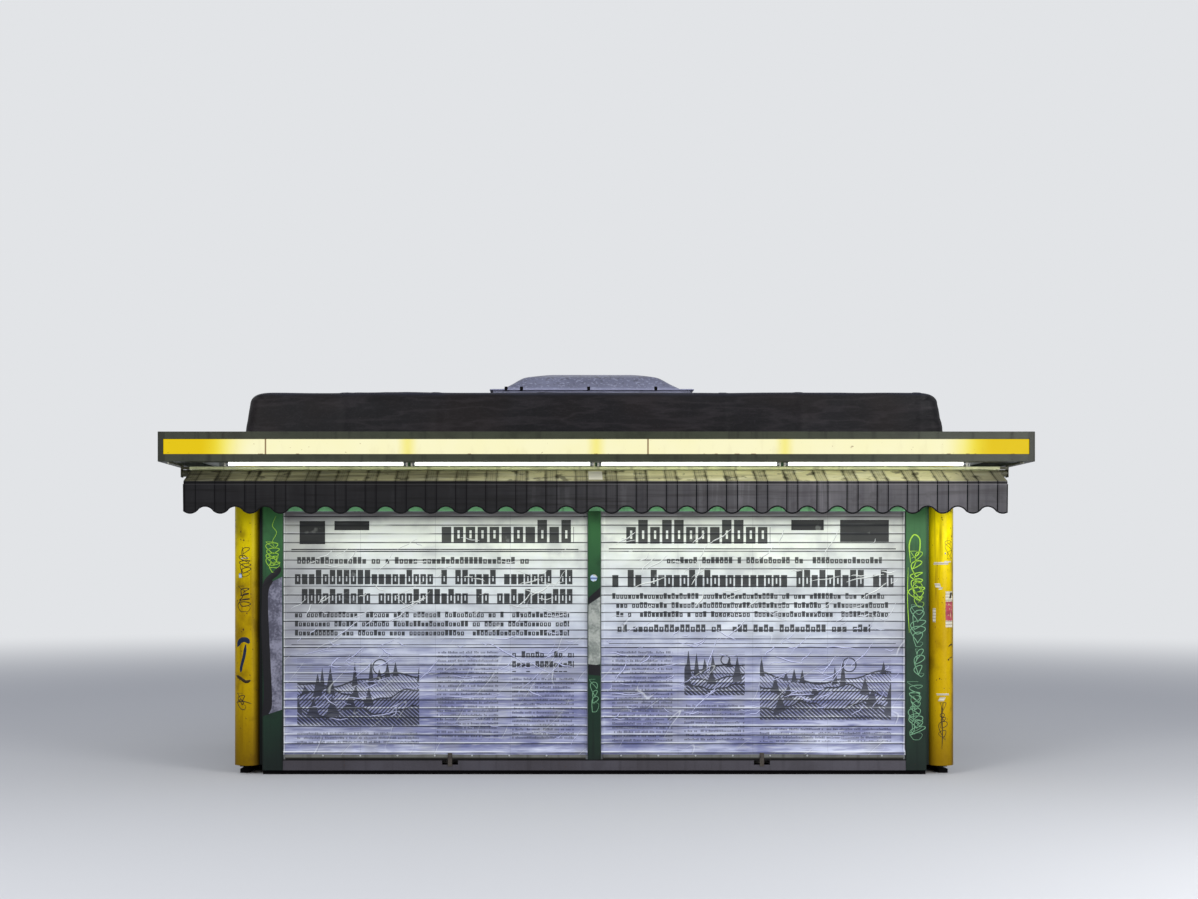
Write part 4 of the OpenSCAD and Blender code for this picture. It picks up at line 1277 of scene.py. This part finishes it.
# %% Bind the edge
def bound(path, half_high, half_thick):
    """A flat oval carried along a path in the cloth's face: its long axis is square to the path."""
    along = np.gradient(path, axis=0)
    along /= np.linalg.norm(along, axis=1)[:, None]
    deep = np.array([0.0, 1.0, 0.0])
    angle = (np.arange(8) * math.pi / 4)[None, :, None]
    ring = np.cos(angle) * half_high * np.cross(along, deep)[:, None] + np.sin(angle) * half_thick * deep
    return path[:, None] + ring, tube_faces(len(path), 8)


scallops = bound(cloth[-1] + (0, -0.0004, 0.0035), 0.0058, 0.0016)
valance = cloth[slope_rows + bend_rows - 1 :]
ends = [bound(valance[:, column] + (0, -0.0004, 0), 0.0045, 0.0016) for column in (0, -1)]
binding = solid("awning_binding", *together(scallops, *ends), tape, "awning_cloth")

# %% Turn the front bar
right_end = round_end(bar_radius, cloth_half, 0.004)
points, faces = turned(join([right_end[::-1] * (1, -1), right_end]), (0, bar_y, bar_z), 0, 32)
solid("awning_front_bar_tube", points, faces, aluminium, "awning_metal", replaces=["awning_front_bar"])

# %% [markdown]
# ## The hat
#
# The raised roof is wrapped in one dark membrane, welded from lengths that overlap. Each row is a
# rounded rectangle, drawn in as the sides lean and turn over. Folds are noise along the surface's
# own way out, so that they run round the corners. A cloth simulation would hang a skirt, but this
# skin is tight, and small folds are easier to steer here.

# %% A rounded rectangle, row by row
def rounded_loop(halves, radius, along_x, along_y, at_corner):
    """Points round rectangles with round corners, a row for each pair of half sizes, and their way out."""
    radius = np.asarray(radius, float)[:, None, None]
    core = np.asarray(halves, float)[:, None] - radius
    signs = [(1, 1), (-1, 1), (-1, -1), (1, -1), (1, 1)]
    plan, facing = [], []
    for quarter in range(4):
        angle = quarter * math.pi / 2 + np.linspace(0, math.pi / 2, at_corner)
        out = stacked(np.cos(angle), np.sin(angle))
        share = np.linspace(0, 1, (along_x, along_y)[quarter % 2] + 2)[1:-1, None]
        arc = core * signs[quarter] + radius * out
        stop = core * signs[quarter + 1] + radius * out[-1]
        plan += [arc, arc[:, -1:] + (stop - arc[:, -1:]) * share]
        facing += [out, out[-1] + 0 * share]
    return join(plan, 1), join(facing)


# %% The hat's form
hat_low, hat_high = span("roof_hood")
hat_clear = (0.022, 0.004)
hat_half = hat_high[:2] + hat_clear
hat_tall = hat_high[2] - hat_low[2]
hat_lean = 0.04
hat_round = 0.1
hat_corner, well_corner = 0.12, 0.03
well_lap = 0.03
well_half = span("skylight_well")[1][:2] - well_lap
straight_rows, turn_rows, top_rows = 18, 22, 33
fold_deep, crest_tall, lift_least, lift_most = 0.007, 0.0035, -0.012, 0.014

climb = np.radians(join([np.zeros(straight_rows), np.linspace(0, 90, turn_rows)]))
turn_low = hat_tall - hat_round
straight_rise = np.linspace(0, turn_low, straight_rows, endpoint=False)
rise = join([straight_rise, turn_low + hat_round * np.sin(climb[straight_rows:])])
inset = hat_lean * np.minimum(rise / turn_low, 1) + hat_round * (1 - np.cos(climb))
top_share = np.linspace(0, 1, top_rows + 1)[1:]
edge = hat_half - inset[-1]
halves = join([hat_half - inset[:, None], edge + (well_half - edge) * top_share[:, None]])
corner = join([np.full(len(rise), hat_corner), hat_corner + (well_corner - hat_corner) * top_share])
plan, facing = rounded_loop(halves, corner, 260, 110, 16)
upright = join([np.cos(climb), np.zeros(top_rows)])[:, None]

x, y = plan[..., 0], plan[..., 1]
z = join([rise, np.full(top_rows, hat_tall)])[:, None] + 0 * x
on_front = facing[None, :, 1] ** 2
slack = 0.35 + 0.65 * eased(x, 0.3, 2.0)
fold_front = rough_noise(x * 0.9 + 0.5 * soft_noise(x * 2, z * 3, 60), z * 8, 61, 3)
fold_side = rough_noise(y * 0.9 + 0.5 * soft_noise(y * 2, z * 3, 62), z * 8 + 3, 63, 3)
fold_top = rough_noise(x * 1.3, y * 1.7, 64, 3)
fold = upright * (fold_front * on_front + fold_side * (1 - on_front)) + (1 - upright) * fold_top
crest = 1 - np.abs(rough_noise(x * 1.2 + z * 3, z * 6 - x * 0.8 + y, 66, 2)) * 3
sag = (fold_deep * fold + crest_tall * np.maximum(crest, 0) ** 3) * (slack * upright + (1 - upright))
weld_places = [-2.15, -1.36, -0.45, 1.12, 1.77, 2.80]
weld_half, weld_tall = 0.035, 0.0035
wander = 0.01 * soft_noise(z * 6, y * 2, 70)
weld = sum(eased(weld_half - np.abs(x - place + wander), 0, 0.008) for place in weld_places)
lift = np.clip((sag + weld_tall * weld) * eased(z, 0, 0.03), lift_least, lift_most)
lift = lift * join([np.ones(len(rise)), 1 - eased(top_share, 0.86, 1.0)])[:, None]
out = stacked(facing[None, :, 0] * upright, facing[None, :, 1] * upright, np.sqrt(1 - upright**2))
skin = stacked(x, y, z + hat_low[2]) + out * lift[..., None]
print("the hat's rows and columns:", skin.shape[:2])


# %% [markdown]
# The membrane is dull and nearly black, with a painted sheen along its folds, and finer creases than
# the mesh can hold, which are left to the bump.

# %% Cover the hat
def tarred_membrane():
    """Tar with brown clouds, a paler bluish band along its top edge, and a painted sheen along its folds and
    fine crinkles on its sides.
    """
    look = Look("roof_membrane")
    ease, noise = look.ease, look.noise
    high, top = look.xyz()[2], hat_high[2]
    clouds = noise(2.0, detail=5.0)
    fine = noise(46, (1, 1, 2.2), 4.0)
    crinkle = (noise(11, (1, 1, 2.2), 4.0, 3.0) - 0.5).abs()
    long_folds = (noise(1.0, (1.4, 1.4, 8), 3.0, 15.0) - 0.5).abs()
    on_side = ease(high, top - 0.02, top - 0.06)
    tar = look.layers(
        tone(8, 7, 10),
        (ease(clouds, 0.3, 0.7), tone(13, 12, 16)),
        (ease(noise(1.0, (5, 5, 26), 5.0), 0.54, 0.74) * 0.3, tone(40, 37, 41)),
        (ease(fine, 0.66, 0.76) * 0.25, tone(66, 64, 70)),
        (ease(high + (clouds - 0.5) * 0.03, top - 0.045, top - 0.005) * 0.75, tone(32, 34, 50)),
        (ease(noise(1.3, shift=12.0), 0.45, 0.65) * 0.5, tone(22, 15, 14)),
        # Painted sheen: paler lines along the folds and crinkles on the sides.
        (ease(long_folds, 0.07, 0.0) * on_side * 0.13, tone(66, 60, 64)),
        (ease(crinkle, 0.03, 0.0) * on_side * 0.09, tone(62, 58, 62)),
    )
    relief = crinkle * 1.2 + fine * 0.2 + noise(210, detail=1.0) * 0.06
    return look.surface(tar, 0.6 - clouds * 0.1, relief, 0.0035, 0.14)


flat = (1, 1, 0)
hem_shares, hem_rise, hat_wall = (0.03, 0.012), 0.002, 0.03
under = [stacked(x[0] * (1 - share), y[0] * (1 - share), hat_low[2] + hem_rise) for share in hem_shares]
inner_top = (0, 0, hat_high[2] - hat_wall)
shell = join([[under[0] * flat + inner_top], under, skin, [skin[-1] * flat + inner_top]])
number = np.arange(shell[..., 0].size).reshape(shell.shape[:2])
hat_faces = [grid_faces(*number.shape, closed=True), ring_faces(number[-1], number[0])]
solid("roof_membrane", shell, hat_faces, tarred_membrane(), "roof_skin", replaces=["roof_hood"], crease=70)

# %% [markdown]
# ## The skylight
#
# The dome is one blown sheet of opal plastic over a kerb, greyed by weather and speckled with dirt.
# Its rows draw in as the angle rises: height is a sine, and the plan shrinks by a power of the
# cosine, which makes steep flanks and a nearly flat crown. Clips hold its flange down.

# %% Blow the dome
dome_low, dome_high = span("skylight_dome")
dome_foot, dome_top = dome_low[2], dome_high[2]
dome_wall = 0.006
flange_half, flange_tall, flange_corner = dome_high[:2], 0.01, 0.03
foot_inset = 0.06
foot_half = span("skylight_well")[1][:2] - foot_inset
crown_half = (0.38, 0.002)
dome_lean = 0.413
dome_flare = 0.055
dome_corner = 0.058
dome_power = 1.8
dome_sunk = 0.004
loop_counts = 60, 30, 8


def dome_rows(gap):
    """Rows from the rim to the crown, a gap inside the dome's face."""
    rise = np.radians(np.linspace(0, 90, 26))
    flare = dome_flare * np.sin(math.pi * np.clip(np.sin(rise) / 0.75, 0, 1))
    shrink = dome_lean * (1 - np.cos(rise) ** dome_power) + flare
    share = np.linspace(0, 1, 8)[1:, None]
    foot = foot_half - gap
    halves = join([foot - shrink[:, None], (foot - dome_lean) * (1 - share) + np.array(crown_half) * share])
    plan, _ = rounded_loop(halves, np.minimum(dome_corner, halves[:, 1] * 0.98), *loop_counts)
    tall = join([np.sin(rise), np.ones(7)]) * (dome_top - dome_foot - flange_tall - gap)
    sunk = dome_sunk * soft_noise(plan[..., 0] * 4, plan[..., 1] * 6, 80) ** 2
    return stacked(plan[..., 0], plan[..., 1], dome_foot + flange_tall + tall[:, None] - sunk)


def flange_row(inset, level):
    """One row round the flange."""
    plan, _ = rounded_loop([flange_half - inset], [flange_corner], *loop_counts)
    return stacked(plan[0, :, 0], plan[0, :, 1], dome_foot + level)


rim_rows = [flange_row(*row) for row in ((0.03, 0), (0.002, 0), (0, 0.002), (0, 0.008), (0.002, 0.01))]
sheet = join([rim_rows, dome_rows(0.0)])
inner = dome_rows(dome_wall)[::-1]
under = join([inner, [inner[-1] * flat + (0, 0, dome_foot)]])
dome = join([sheet, under])
number = np.arange(dome[..., 0].size).reshape(dome.shape[:2])
rows, count = sheet.shape[:2]
dome_faces = [grid_faces(rows, count, closed=True), number[rows - 1 : rows], number[rows : rows + 1],
              grid_faces(len(under), count, closed=True) + rows * count, ring_faces(number[0], number[-1])]

opal = Look("dome_plastic")
clouds = opal.noise(2.4, detail=4.0)
specks = opal.noise(34, detail=5.0)
dark_specks = opal.noise(26, detail=4.0, shift=8.0)
height = opal.xyz()[2]
top = opal.ease(height, dome_foot + 0.05, dome_top)
plastic = opal.layers(
    tone(92, 94, 116),
    (opal.ease(clouds, 0.3, 0.7), tone(116, 119, 142)),
    (opal.ease(specks, 0.54, 0.64) * 0.6, tone(152, 155, 176)),
    (opal.ease(dark_specks, 0.56, 0.66) * (0.35 + top * 0.4), tone(52, 51, 56)),
    (opal.ease(height, dome_foot + 0.05, dome_foot + 0.012) * 0.6, tone(160, 162, 190)),
)
opal.surface(plastic, 0.34 + specks * 0.3, specks, 0.0006, more={"Coat Weight": 0.12})
solid("skylight_bubble", dome, dome_faces, opal, "dome_plastic", replaces=["skylight_dome"], crease=50)

# %% Clip its flange down
clip_along = [-0.78, -0.64, -0.03, 0.58]
clip_inset = 0.012
clip_half = np.array([0.014, 0.014, 0.018])
clips = []
for x in clip_along:
    for y in (-flange_half[1] + clip_inset, flange_half[1] - clip_inset):
        middle = np.array([x, y, dome_foot + flange_tall + 0.004])
        clips.append(box(middle - clip_half, middle + clip_half))
solid("dome_clips", *together(*clips), black_and_shadow, "lock_steel", bevel=0.004)

# %% [markdown]
# ## Back wall
#
# Pressed steel panels close the two bays at the back. Upright swages stiffen the sheet: in plan each
# one is a shallow trapezium, so the panel is a plan line carried upwards. Screws hold it.

# %% Press the back panels and screw them on
swage_pitch = 0.218
swage_deep = 0.009
swage_line = np.array([(0.05, 0), (0.062, 1), (0.156, 1), (0.168, 0)])
screw_inset, screw_margin, screws_high = 0.022, 0.06, 8
screw = domed_head(0.007, 0.0035, sense=1)
screws = []
for name in ("back_panel_left", "back_panel_right"):
    low, high = span(name)
    wide = high[0] - low[0]
    swages = int((wide - 0.2) / swage_pitch)
    starts = low[0] + (wide - swages * swage_pitch) / 2 + swage_pitch * np.arange(swages)
    x = join([[low[0]], (starts[:, None] + swage_line[:, 0]).ravel(), [high[0], high[0], low[0]]])
    y = join([[high[1]], high[1] - swage_deep * np.tile(swage_line[:, 1], swages), [high[1], low[1], low[1]]])
    points = stacked(x, y, np.array([low[2], high[2]])[:, None])
    faces = tube_faces(2, len(x))
    solid(name + "_pressed", points, faces, green, "green_paint", replaces=[name], bevel=0.002)
    for z in np.linspace(low[2] + screw_margin, high[2] - screw_margin, screws_high):
        screws += [(low[0] + screw_inset, high[1], z), (high[0] - screw_inset, high[1], z)]
solid("back_panel_screws", *repeated(*screw, screws), zinc, "guide_steel")

# %% [markdown]
# ## Seams of the canopy
#
# The ceiling is boarded with panels that meet under flat cover strips, and the deck on top is sheet
# metal folded up into low seams. Both repeat one strip along the kiosk.

# %% Cover strips and deck seams
def strip(x, half, near, far, low, high):
    """A strip that runs from front to back at one place along the kiosk."""
    return box((x - half, near, low), (x + half, far, high))


ceiling_low, ceiling_high = span("ceiling")
deck_low, deck_high = span("roof_deck")
strip_pitch = 0.875
strip_half, strip_tall = 0.02, 0.003
seam_half, seam_tall = 0.008, 0.01
let_in = 0.002
hood_room, wall_room = 0.13, 0.02
wall_face = -span("header_front")[0][1]
foot = ceiling_low[2]
spans = ((ceiling_low[1], -wall_face - hood_room), (wall_face + wall_room, ceiling_high[1]))
strips = [strip(x, strip_half, *reach, foot - strip_tall, foot + let_in)
          for x in strip_pitch * np.arange(-3, 4) for reach in spans]
solid("ceiling_strips", *together(*strips), white, "ceiling_paint", bevel=0.001)

seams = []
hat_edge = hat_half[1] + 0.005
for x in strip_pitch * np.arange(-3.5, 4):
    breaks = [-hat_edge, hat_edge] if abs(x) < hat_half[0] else []
    ends = [deck_low[1], *breaks, deck_high[1]]
    reaches = zip(ends[::2], ends[1::2])
    seams += [strip(x, seam_half, *reach, deck_high[2] - let_in, deck_high[2] + seam_tall)
              for reach in reaches]
solid("deck_seams", *together(*seams), deck_grey, "deck_sheet", bevel=0.002)

# %% Screws along the fascia's rails
rail_half, screw_pitch = 0.02, 0.62
low, high = span("fascia_front")
rails = (high[2] - rail_half, low[2] + rail_half)
heads = []
for half, depth, turns in ((3.4, low[1], (0, 180)), (1.6, -high[0], (-90, 90))):
    places = [(x, depth, z) for x in np.arange(-half, half + 0.1, screw_pitch) for z in rails]
    points, faces = repeated(*domed_head(0.005, 0.002), places)
    heads += [(swung(points, turn), faces) for turn in turns]
solid("fascia_screws", *together(*heads), teal_grey, "frame_paint")

# %% [markdown]
# ## Marks of the street
#
# Posts and columns carry loops of spray paint, brush marks, torn tape and old stickers. A stroke is
# a flat ribbon along a smooth line on the part's face, less than a millimetre proud. The loops are
# sums of sines, so they look like a quick hand and say nothing.

# %% Faces that paint can lie on
def on_face(node, middle):
    """A flat face at the front: across and up become X and Z."""
    face = span(node)[0][1]
    return lambda across, up, proud: stacked(middle + across, face - proud, up)


def on_column(node):
    """The round face of a column: across is measured along its girth from its foremost line."""
    middle_x, middle_y, radius = round_of(node)

    def place(across, up, proud):
        angle, reach = across / radius, radius + proud
        return stacked(middle_x + reach * np.sin(angle), middle_y - reach * np.cos(angle), up)
    return place


def band(left, right, place, proud):
    """A closed flat skin between two lines of (across, up) points: thin flanks and a sunk back."""
    share = np.array([0.0, 0.08, 0.5, 0.92, 1.0, 0.5])
    lift = np.array([0.0, 1.0, 1.0, 1.0, 0.0, -0.6]) * proud
    across = left[:, :1] + (right[:, :1] - left[:, :1]) * share
    up = left[:, 1:] + (right[:, 1:] - left[:, 1:]) * share
    return place(across, up, lift), tube_faces(len(left), 6)


steps_between = 24


def through(points):
    """A smooth line through given points, with cubic ease between their directions."""
    points = np.asarray(points, float)
    padded = join([[2 * points[0] - points[1]], points, [2 * points[-1] - points[-2]]])
    t = np.linspace(0, len(points) - 1, steps_between * (len(points) - 1))
    k = np.minimum(t.astype(int), len(points) - 2)
    f = (t - k)[:, None]
    a, b, c, d = (padded[k + n] for n in range(4))
    return 0.5 * (2 * b + (c - a) * f + (2 * a - 5 * b + 4 * c - d) * f**2 + (3 * b - a - 3 * c + d) * f**3)


def ribbon(path, width, place, proud=0.0007):
    """A band along a path, as wide as a stroke and thin at both ends."""
    step = np.gradient(path, axis=0)
    step /= np.maximum(np.linalg.norm(step, axis=1), 1e-9)[:, None]
    share = np.linspace(0, 1, len(path))
    half = width / 2 * (0.35 + 0.65 * np.minimum(1, 6 * np.minimum(share, 1 - share)))
    beside = half[:, None] * stacked(-step[:, 1], step[:, 0])
    return band(path - beside, path + beside, place, proud)


def patch(left, right, place, proud=0.0006):
    """A painted field between two given lines that climb together."""
    return band(through(left), through(right), place, proud)


def scribble(middle, low, high, wide, count, seed):
    """A quick hand: a coil of count turns that climbs, with loops whose size and slant keep changing."""
    turn = np.linspace(0, count, count * 26)
    swell, slant, hop = (soft_noise(turn * 0.9 + shift, 0 * turn, seed) for shift in (0.0, 20.5, 40.5))
    angle = 2 * math.pi * turn
    side = (0.34 + 0.13 * swell) * np.sin(angle) + 0.13 * np.sin(2 * angle + 3 * slant)
    step = (high - low) / count
    up = low + step * turn + step * (0.75 + 0.5 * hop) * np.cos(angle + 1.2 * slant)
    return stacked(middle + wide * side, np.clip(up, low, high))


post_middle = 2.764
post_width = 0.0515
left_post, right_post = on_face("posts_front", -post_middle), on_face("posts_front", post_middle)
mullion = on_face("mullion_front", 0.0)
left_column, right_column = on_column("column_front_left"), on_column("column_front_right")


# %% The colours of the paint
def spray(name, colour, rough=0.5):
    """Thin paint with a little of its ground showing through in clouds."""
    look = Look(name)
    cloud = look.noise(60, detail=3.0)
    ground = look.mix(look.ease(cloud, 0.35, 0.75) * 0.5, colour, shade(colour, 0.55))
    return look.surface(ground, rough, cloud, 0.0002)


def cloudy_spray(name, deep, pale):
    """Paint sprayed in a cloud: two tones in soft blots, with dust on them."""
    look = Look(name)
    blots = look.noise(6.5, detail=4.0)
    dust = look.noise(48, detail=4.0, shift=2.0)
    colour = look.mix(look.ease(blots + (dust - 0.5) * 0.5, 0.38, 0.66), deep, pale)
    return look.surface(colour, 0.55, dust, 0.0003)


def worn_sheet(name, ground, ink, bars):
    """Sticker paper: a ground colour with a few plain bars of ink, worn through in flecks."""
    look = Look(name)
    flecks = look.ease(look.noise(60, detail=4.0), 0.56, 0.64)
    bar = ((look.xyz()[2] * bars).sin() > 0.35) * 0.8
    face = look.layers(ground, (bar, ink), (flecks * 0.8, tone(170, 160, 120)))
    return look.surface(face, 0.4, flecks, 0.0003)


lime = spray("spray_lime", tone(148, 192, 56))
pale_green = spray("spray_pale_green", tone(112, 158, 124))
mauve = cloudy_spray("spray_mauve", tone(70, 70, 84), tone(122, 122, 138))
pale_grey = cloudy_spray("spray_grey", tone(106, 112, 108), tone(150, 154, 148))
black_spray_and_shade = spray("spray_black", tone(16, 15, 20))
blue = spray("brush_blue", tone(6, 26, 54))
brown_ink = spray("marker_brown", tone(40, 28, 4), 0.4)
pink_paper = worn_sheet("sticker_pink", tone(150, 58, 72), tone(128, 44, 58), 60)
blue_paper = worn_sheet("sticker_blue", tone(168, 188, 212), tone(40, 66, 122), 150)
white_paper = worn_sheet("sticker_white", tone(186, 181, 164), tone(136, 130, 118), 240)


# %% Put the strokes on
def strokes(name, look, slot, place, *lines):
    """Ribbons on one face, each a width and either a list of points or what a scribble needs."""
    paths = [(through(line) if isinstance(line, list) else scribble(*line), width) for width, line in lines]
    painted(name, look, slot, *[ribbon(path, width, place) for path, width in paths])


def painted(name, look, slot, *parts):
    """Bands of paint that together are one piece."""
    solid(name, *together(*parts), look, slot, crease=60)


strokes("spray_loops_right_high", lime, "green_paint", right_post,
        (0.011, [(-0.05, 1.82), (-0.06, 1.98), (-0.02, 2.06), (0.03, 2.02), (0.02, 1.9), (-0.04, 1.86)]),
        (0.008, (0.0, 1.5, 1.92, 0.14, 6, 1)),
        (0.006, (0.02, 1.44, 1.7, 0.1, 5, 21)),
        (0.006, [(-0.07, 1.78), (-0.075, 1.5), (-0.06, 1.22)]))
strokes("spray_loops_right_low", pale_green, "green_paint", right_post,
        (0.006, (0.01, 1.1, 1.46, 0.14, 6, 2)),
        (0.006, (0.02, 0.84, 1.08, 0.1, 4, 5)),
        (0.006, (0.0, 0.3, 0.8, 0.14, 9, 3)),
        (0.005, (-0.01, 0.36, 0.7, 0.13, 5, 7)))
strokes("spray_loops_left", lime, "green_paint", left_post,
        (0.006, (0.0, 1.78, 2.0, 0.13, 5, 4)),
        (0.005, (0.01, 1.74, 1.9, 0.1, 3, 24)),
        (0.004, [(0.03, 2.22), (0.0, 2.14), (0.035, 2.08), (0.0, 2.0), (0.03, 1.94)]))
cloud_left = [(-0.04, 0.52), (-0.01, 0.6), (-0.02, 0.9), (-0.035, 1.2), (-0.045, 1.45), (-0.04, 1.58),
              (0.0, 1.66)]
cloud_right = [(0.0835, 0.56)] + [(0.084, up) for up in (0.7, 0.95, 1.2, 1.45, 1.6, 1.7)]
cloud_edge = [(-0.09, 0.5), (-0.075, 0.7), (-0.085, 1.0), (-0.095, 1.3), (-0.09, 1.5), (-0.085, 1.62),
              (-0.05, 1.7)]
cloud_top = through([(-0.08, 1.62), (-0.02, 1.69), (0.03, 1.73), (0.07, 1.78)])
painted("spray_cloud_left_outline", black_spray_and_shade, "green_paint",
        patch(cloud_edge, np.array(cloud_left) + (0.012, 0), left_post, 0.0005),
        ribbon(cloud_top, 0.05, left_post, 0.0009))
painted("spray_cloud_left", mauve, "green_paint", patch(cloud_left, cloud_right, left_post))


def across_mullion(left, right, proud=0.0006):
    """A painted field over the whole width of the mullion, between heights at its left and its right."""
    return patch([(-post_width, up) for up in left], [(post_width, up) for up in right], mullion, proud)


painted("spray_mullion", pale_grey, "green_paint", across_mullion([0.93, 1.2, 1.5], [0.95, 1.2, 1.54]))
painted("spray_mullion_bands", black_spray_and_shade, "green_paint",
        across_mullion([1.46, 1.49, 1.52], [1.53, 1.57, 1.61], 0.001),
        across_mullion([0.86, 0.9, 0.95], [0.85, 0.91, 0.94], 0.001))
strokes("spray_mullion_loops", pale_green, "green_paint", mullion, (0.005, (0.0, 0.54, 0.82, 0.07, 4, 9)))
strokes("brush_mark", blue, "yellow_paint", left_column,
        (0.042, [(-0.085, 1.1), (-0.05, 1.15), (0.0, 1.16), (0.03, 1.13)]),
        (0.026, [(0.0, 1.12), (-0.015, 1.02), (-0.04, 0.93), (-0.045, 0.88)]))
strokes("marker_left", brown_ink, "yellow_paint", left_column,
        (0.007, (-0.01, 1.7, 1.95, 0.11, 6, 12)),
        (0.008, (-0.02, 1.4, 1.62, 0.11, 5, 13)),
        (0.026, [(-0.1, 0.85), (-0.05, 0.83), (0.0, 0.8), (0.04, 0.81)]),
        (0.007, (-0.04, 0.56, 0.7, 0.1, 3, 14)),
        (0.008, [(-0.1, 0.62), (-0.02, 0.63), (0.05, 0.61)]))
strokes("marker_right", brown_ink, "yellow_paint", right_column,
        (0.004, (0.06, 1.84, 2.04, 0.08, 4, 15)),
        (0.006, (0.0, 0.3, 0.62, 0.07, 6, 16)),
        (0.007, [(-0.01, 0.22), (-0.005, 0.4), (-0.015, 0.6)]),
        (0.012, [(0.05, 1.1), (0.09, 1.12), (0.1, 1.1)]),
        (0.01, [(0.06, 1.0), (0.1, 1.01)]))


# %% [markdown]
# Stickers and torn tape are thin sheets that bend with the face they are on, so they are grids on
# the same faces, half a millimetre thick, with corners that have begun to wear.

# %% Stick them on
def sticker(place, middle, up, wide, tall, lean=0.0, thick=0.0006):
    """A small sheet on a face, as a closed grid: its front, and its back a little sunk."""
    share_x, share_z = np.meshgrid(np.linspace(-0.5, 0.5, 9), np.linspace(-0.5, 0.5, 5))
    ragged = 0.02 * soft_noise(share_x * 7 + up * 9, share_z * 7, 90)
    across = middle + (share_x + ragged) * wide + lean * share_z * tall
    rise = up + (share_z + ragged * 0.5) * tall
    rim, face = rim_of(5, 9), grid_faces(5, 9)
    sides = np.stack([place(across, rise, proud) for proud in (thick, -0.0004)])
    return sides, [face, face + 45, ring_faces(rim, rim + 45)]


def stickers(name, look, slot, *rows):
    """Stickers of one paper as one piece, each given as what a sticker needs."""
    solid(name, *together(*[sticker(*row) for row in rows]), look, slot)


stickers("stickers_white", white_paper, "yellow_paint",
         (right_column, -0.015, 1.815, 0.13, 0.022, 0.3),
         (right_column, 0.045, 1.83, 0.07, 0.012, 0.2),
         (right_column, -0.045, 1.625, 0.045, 0.036, -0.3),
         (right_column, -0.02, 1.6, 0.03, 0.02, 0.4),
         (right_column, -0.075, 1.37, 0.026, 0.12),
         (right_column, 0.0, 0.69, 0.11, 0.016, -0.3),
         (right_column, -0.01, 0.65, 0.05, 0.035, 0.5),
         (left_column, -0.01, 1.86, 0.06, 0.012, 1.2),
         (right_column, 0.065, 1.53, 0.085, 0.09),
         (right_column, 0.065, 1.295, 0.085, 0.06))
stickers("sticker_pink", pink_paper, "yellow_paint", (right_column, 0.065, 1.405, 0.085, 0.17))
stickers("sticker_marks", brown_ink, "yellow_paint",
         (right_column, 0.075, 1.54, 0.02, 0.05, 0.2, 0.0012),
         (right_column, 0.1, 1.55, 0.015, 0.03, -0.2, 0.0012))
stickers("stickers_blue", blue_paper, "yellow_paint",
         (left_column, -0.05, 1.71, 0.03, 0.04),
         (right_column, 0.02, 1.9, 0.012, 0.015))
seal, seal_faces = turned([(0.03, 0.0), (0.03, 0.0008), (0.0295, 0.0012)], (0, 0, 0), 1, 24)
seal_place = (-0.005, span("mullion_front")[0][1] + 0.0002, 1.69)
solid("sticker_round", seal * (1, -1, 1) + seal_place, seal_faces, blue_paper, "green_paint")

# %% [markdown]
# ## Count the triangles

# %% Count the triangles
print("triangles made:", triangles_made)
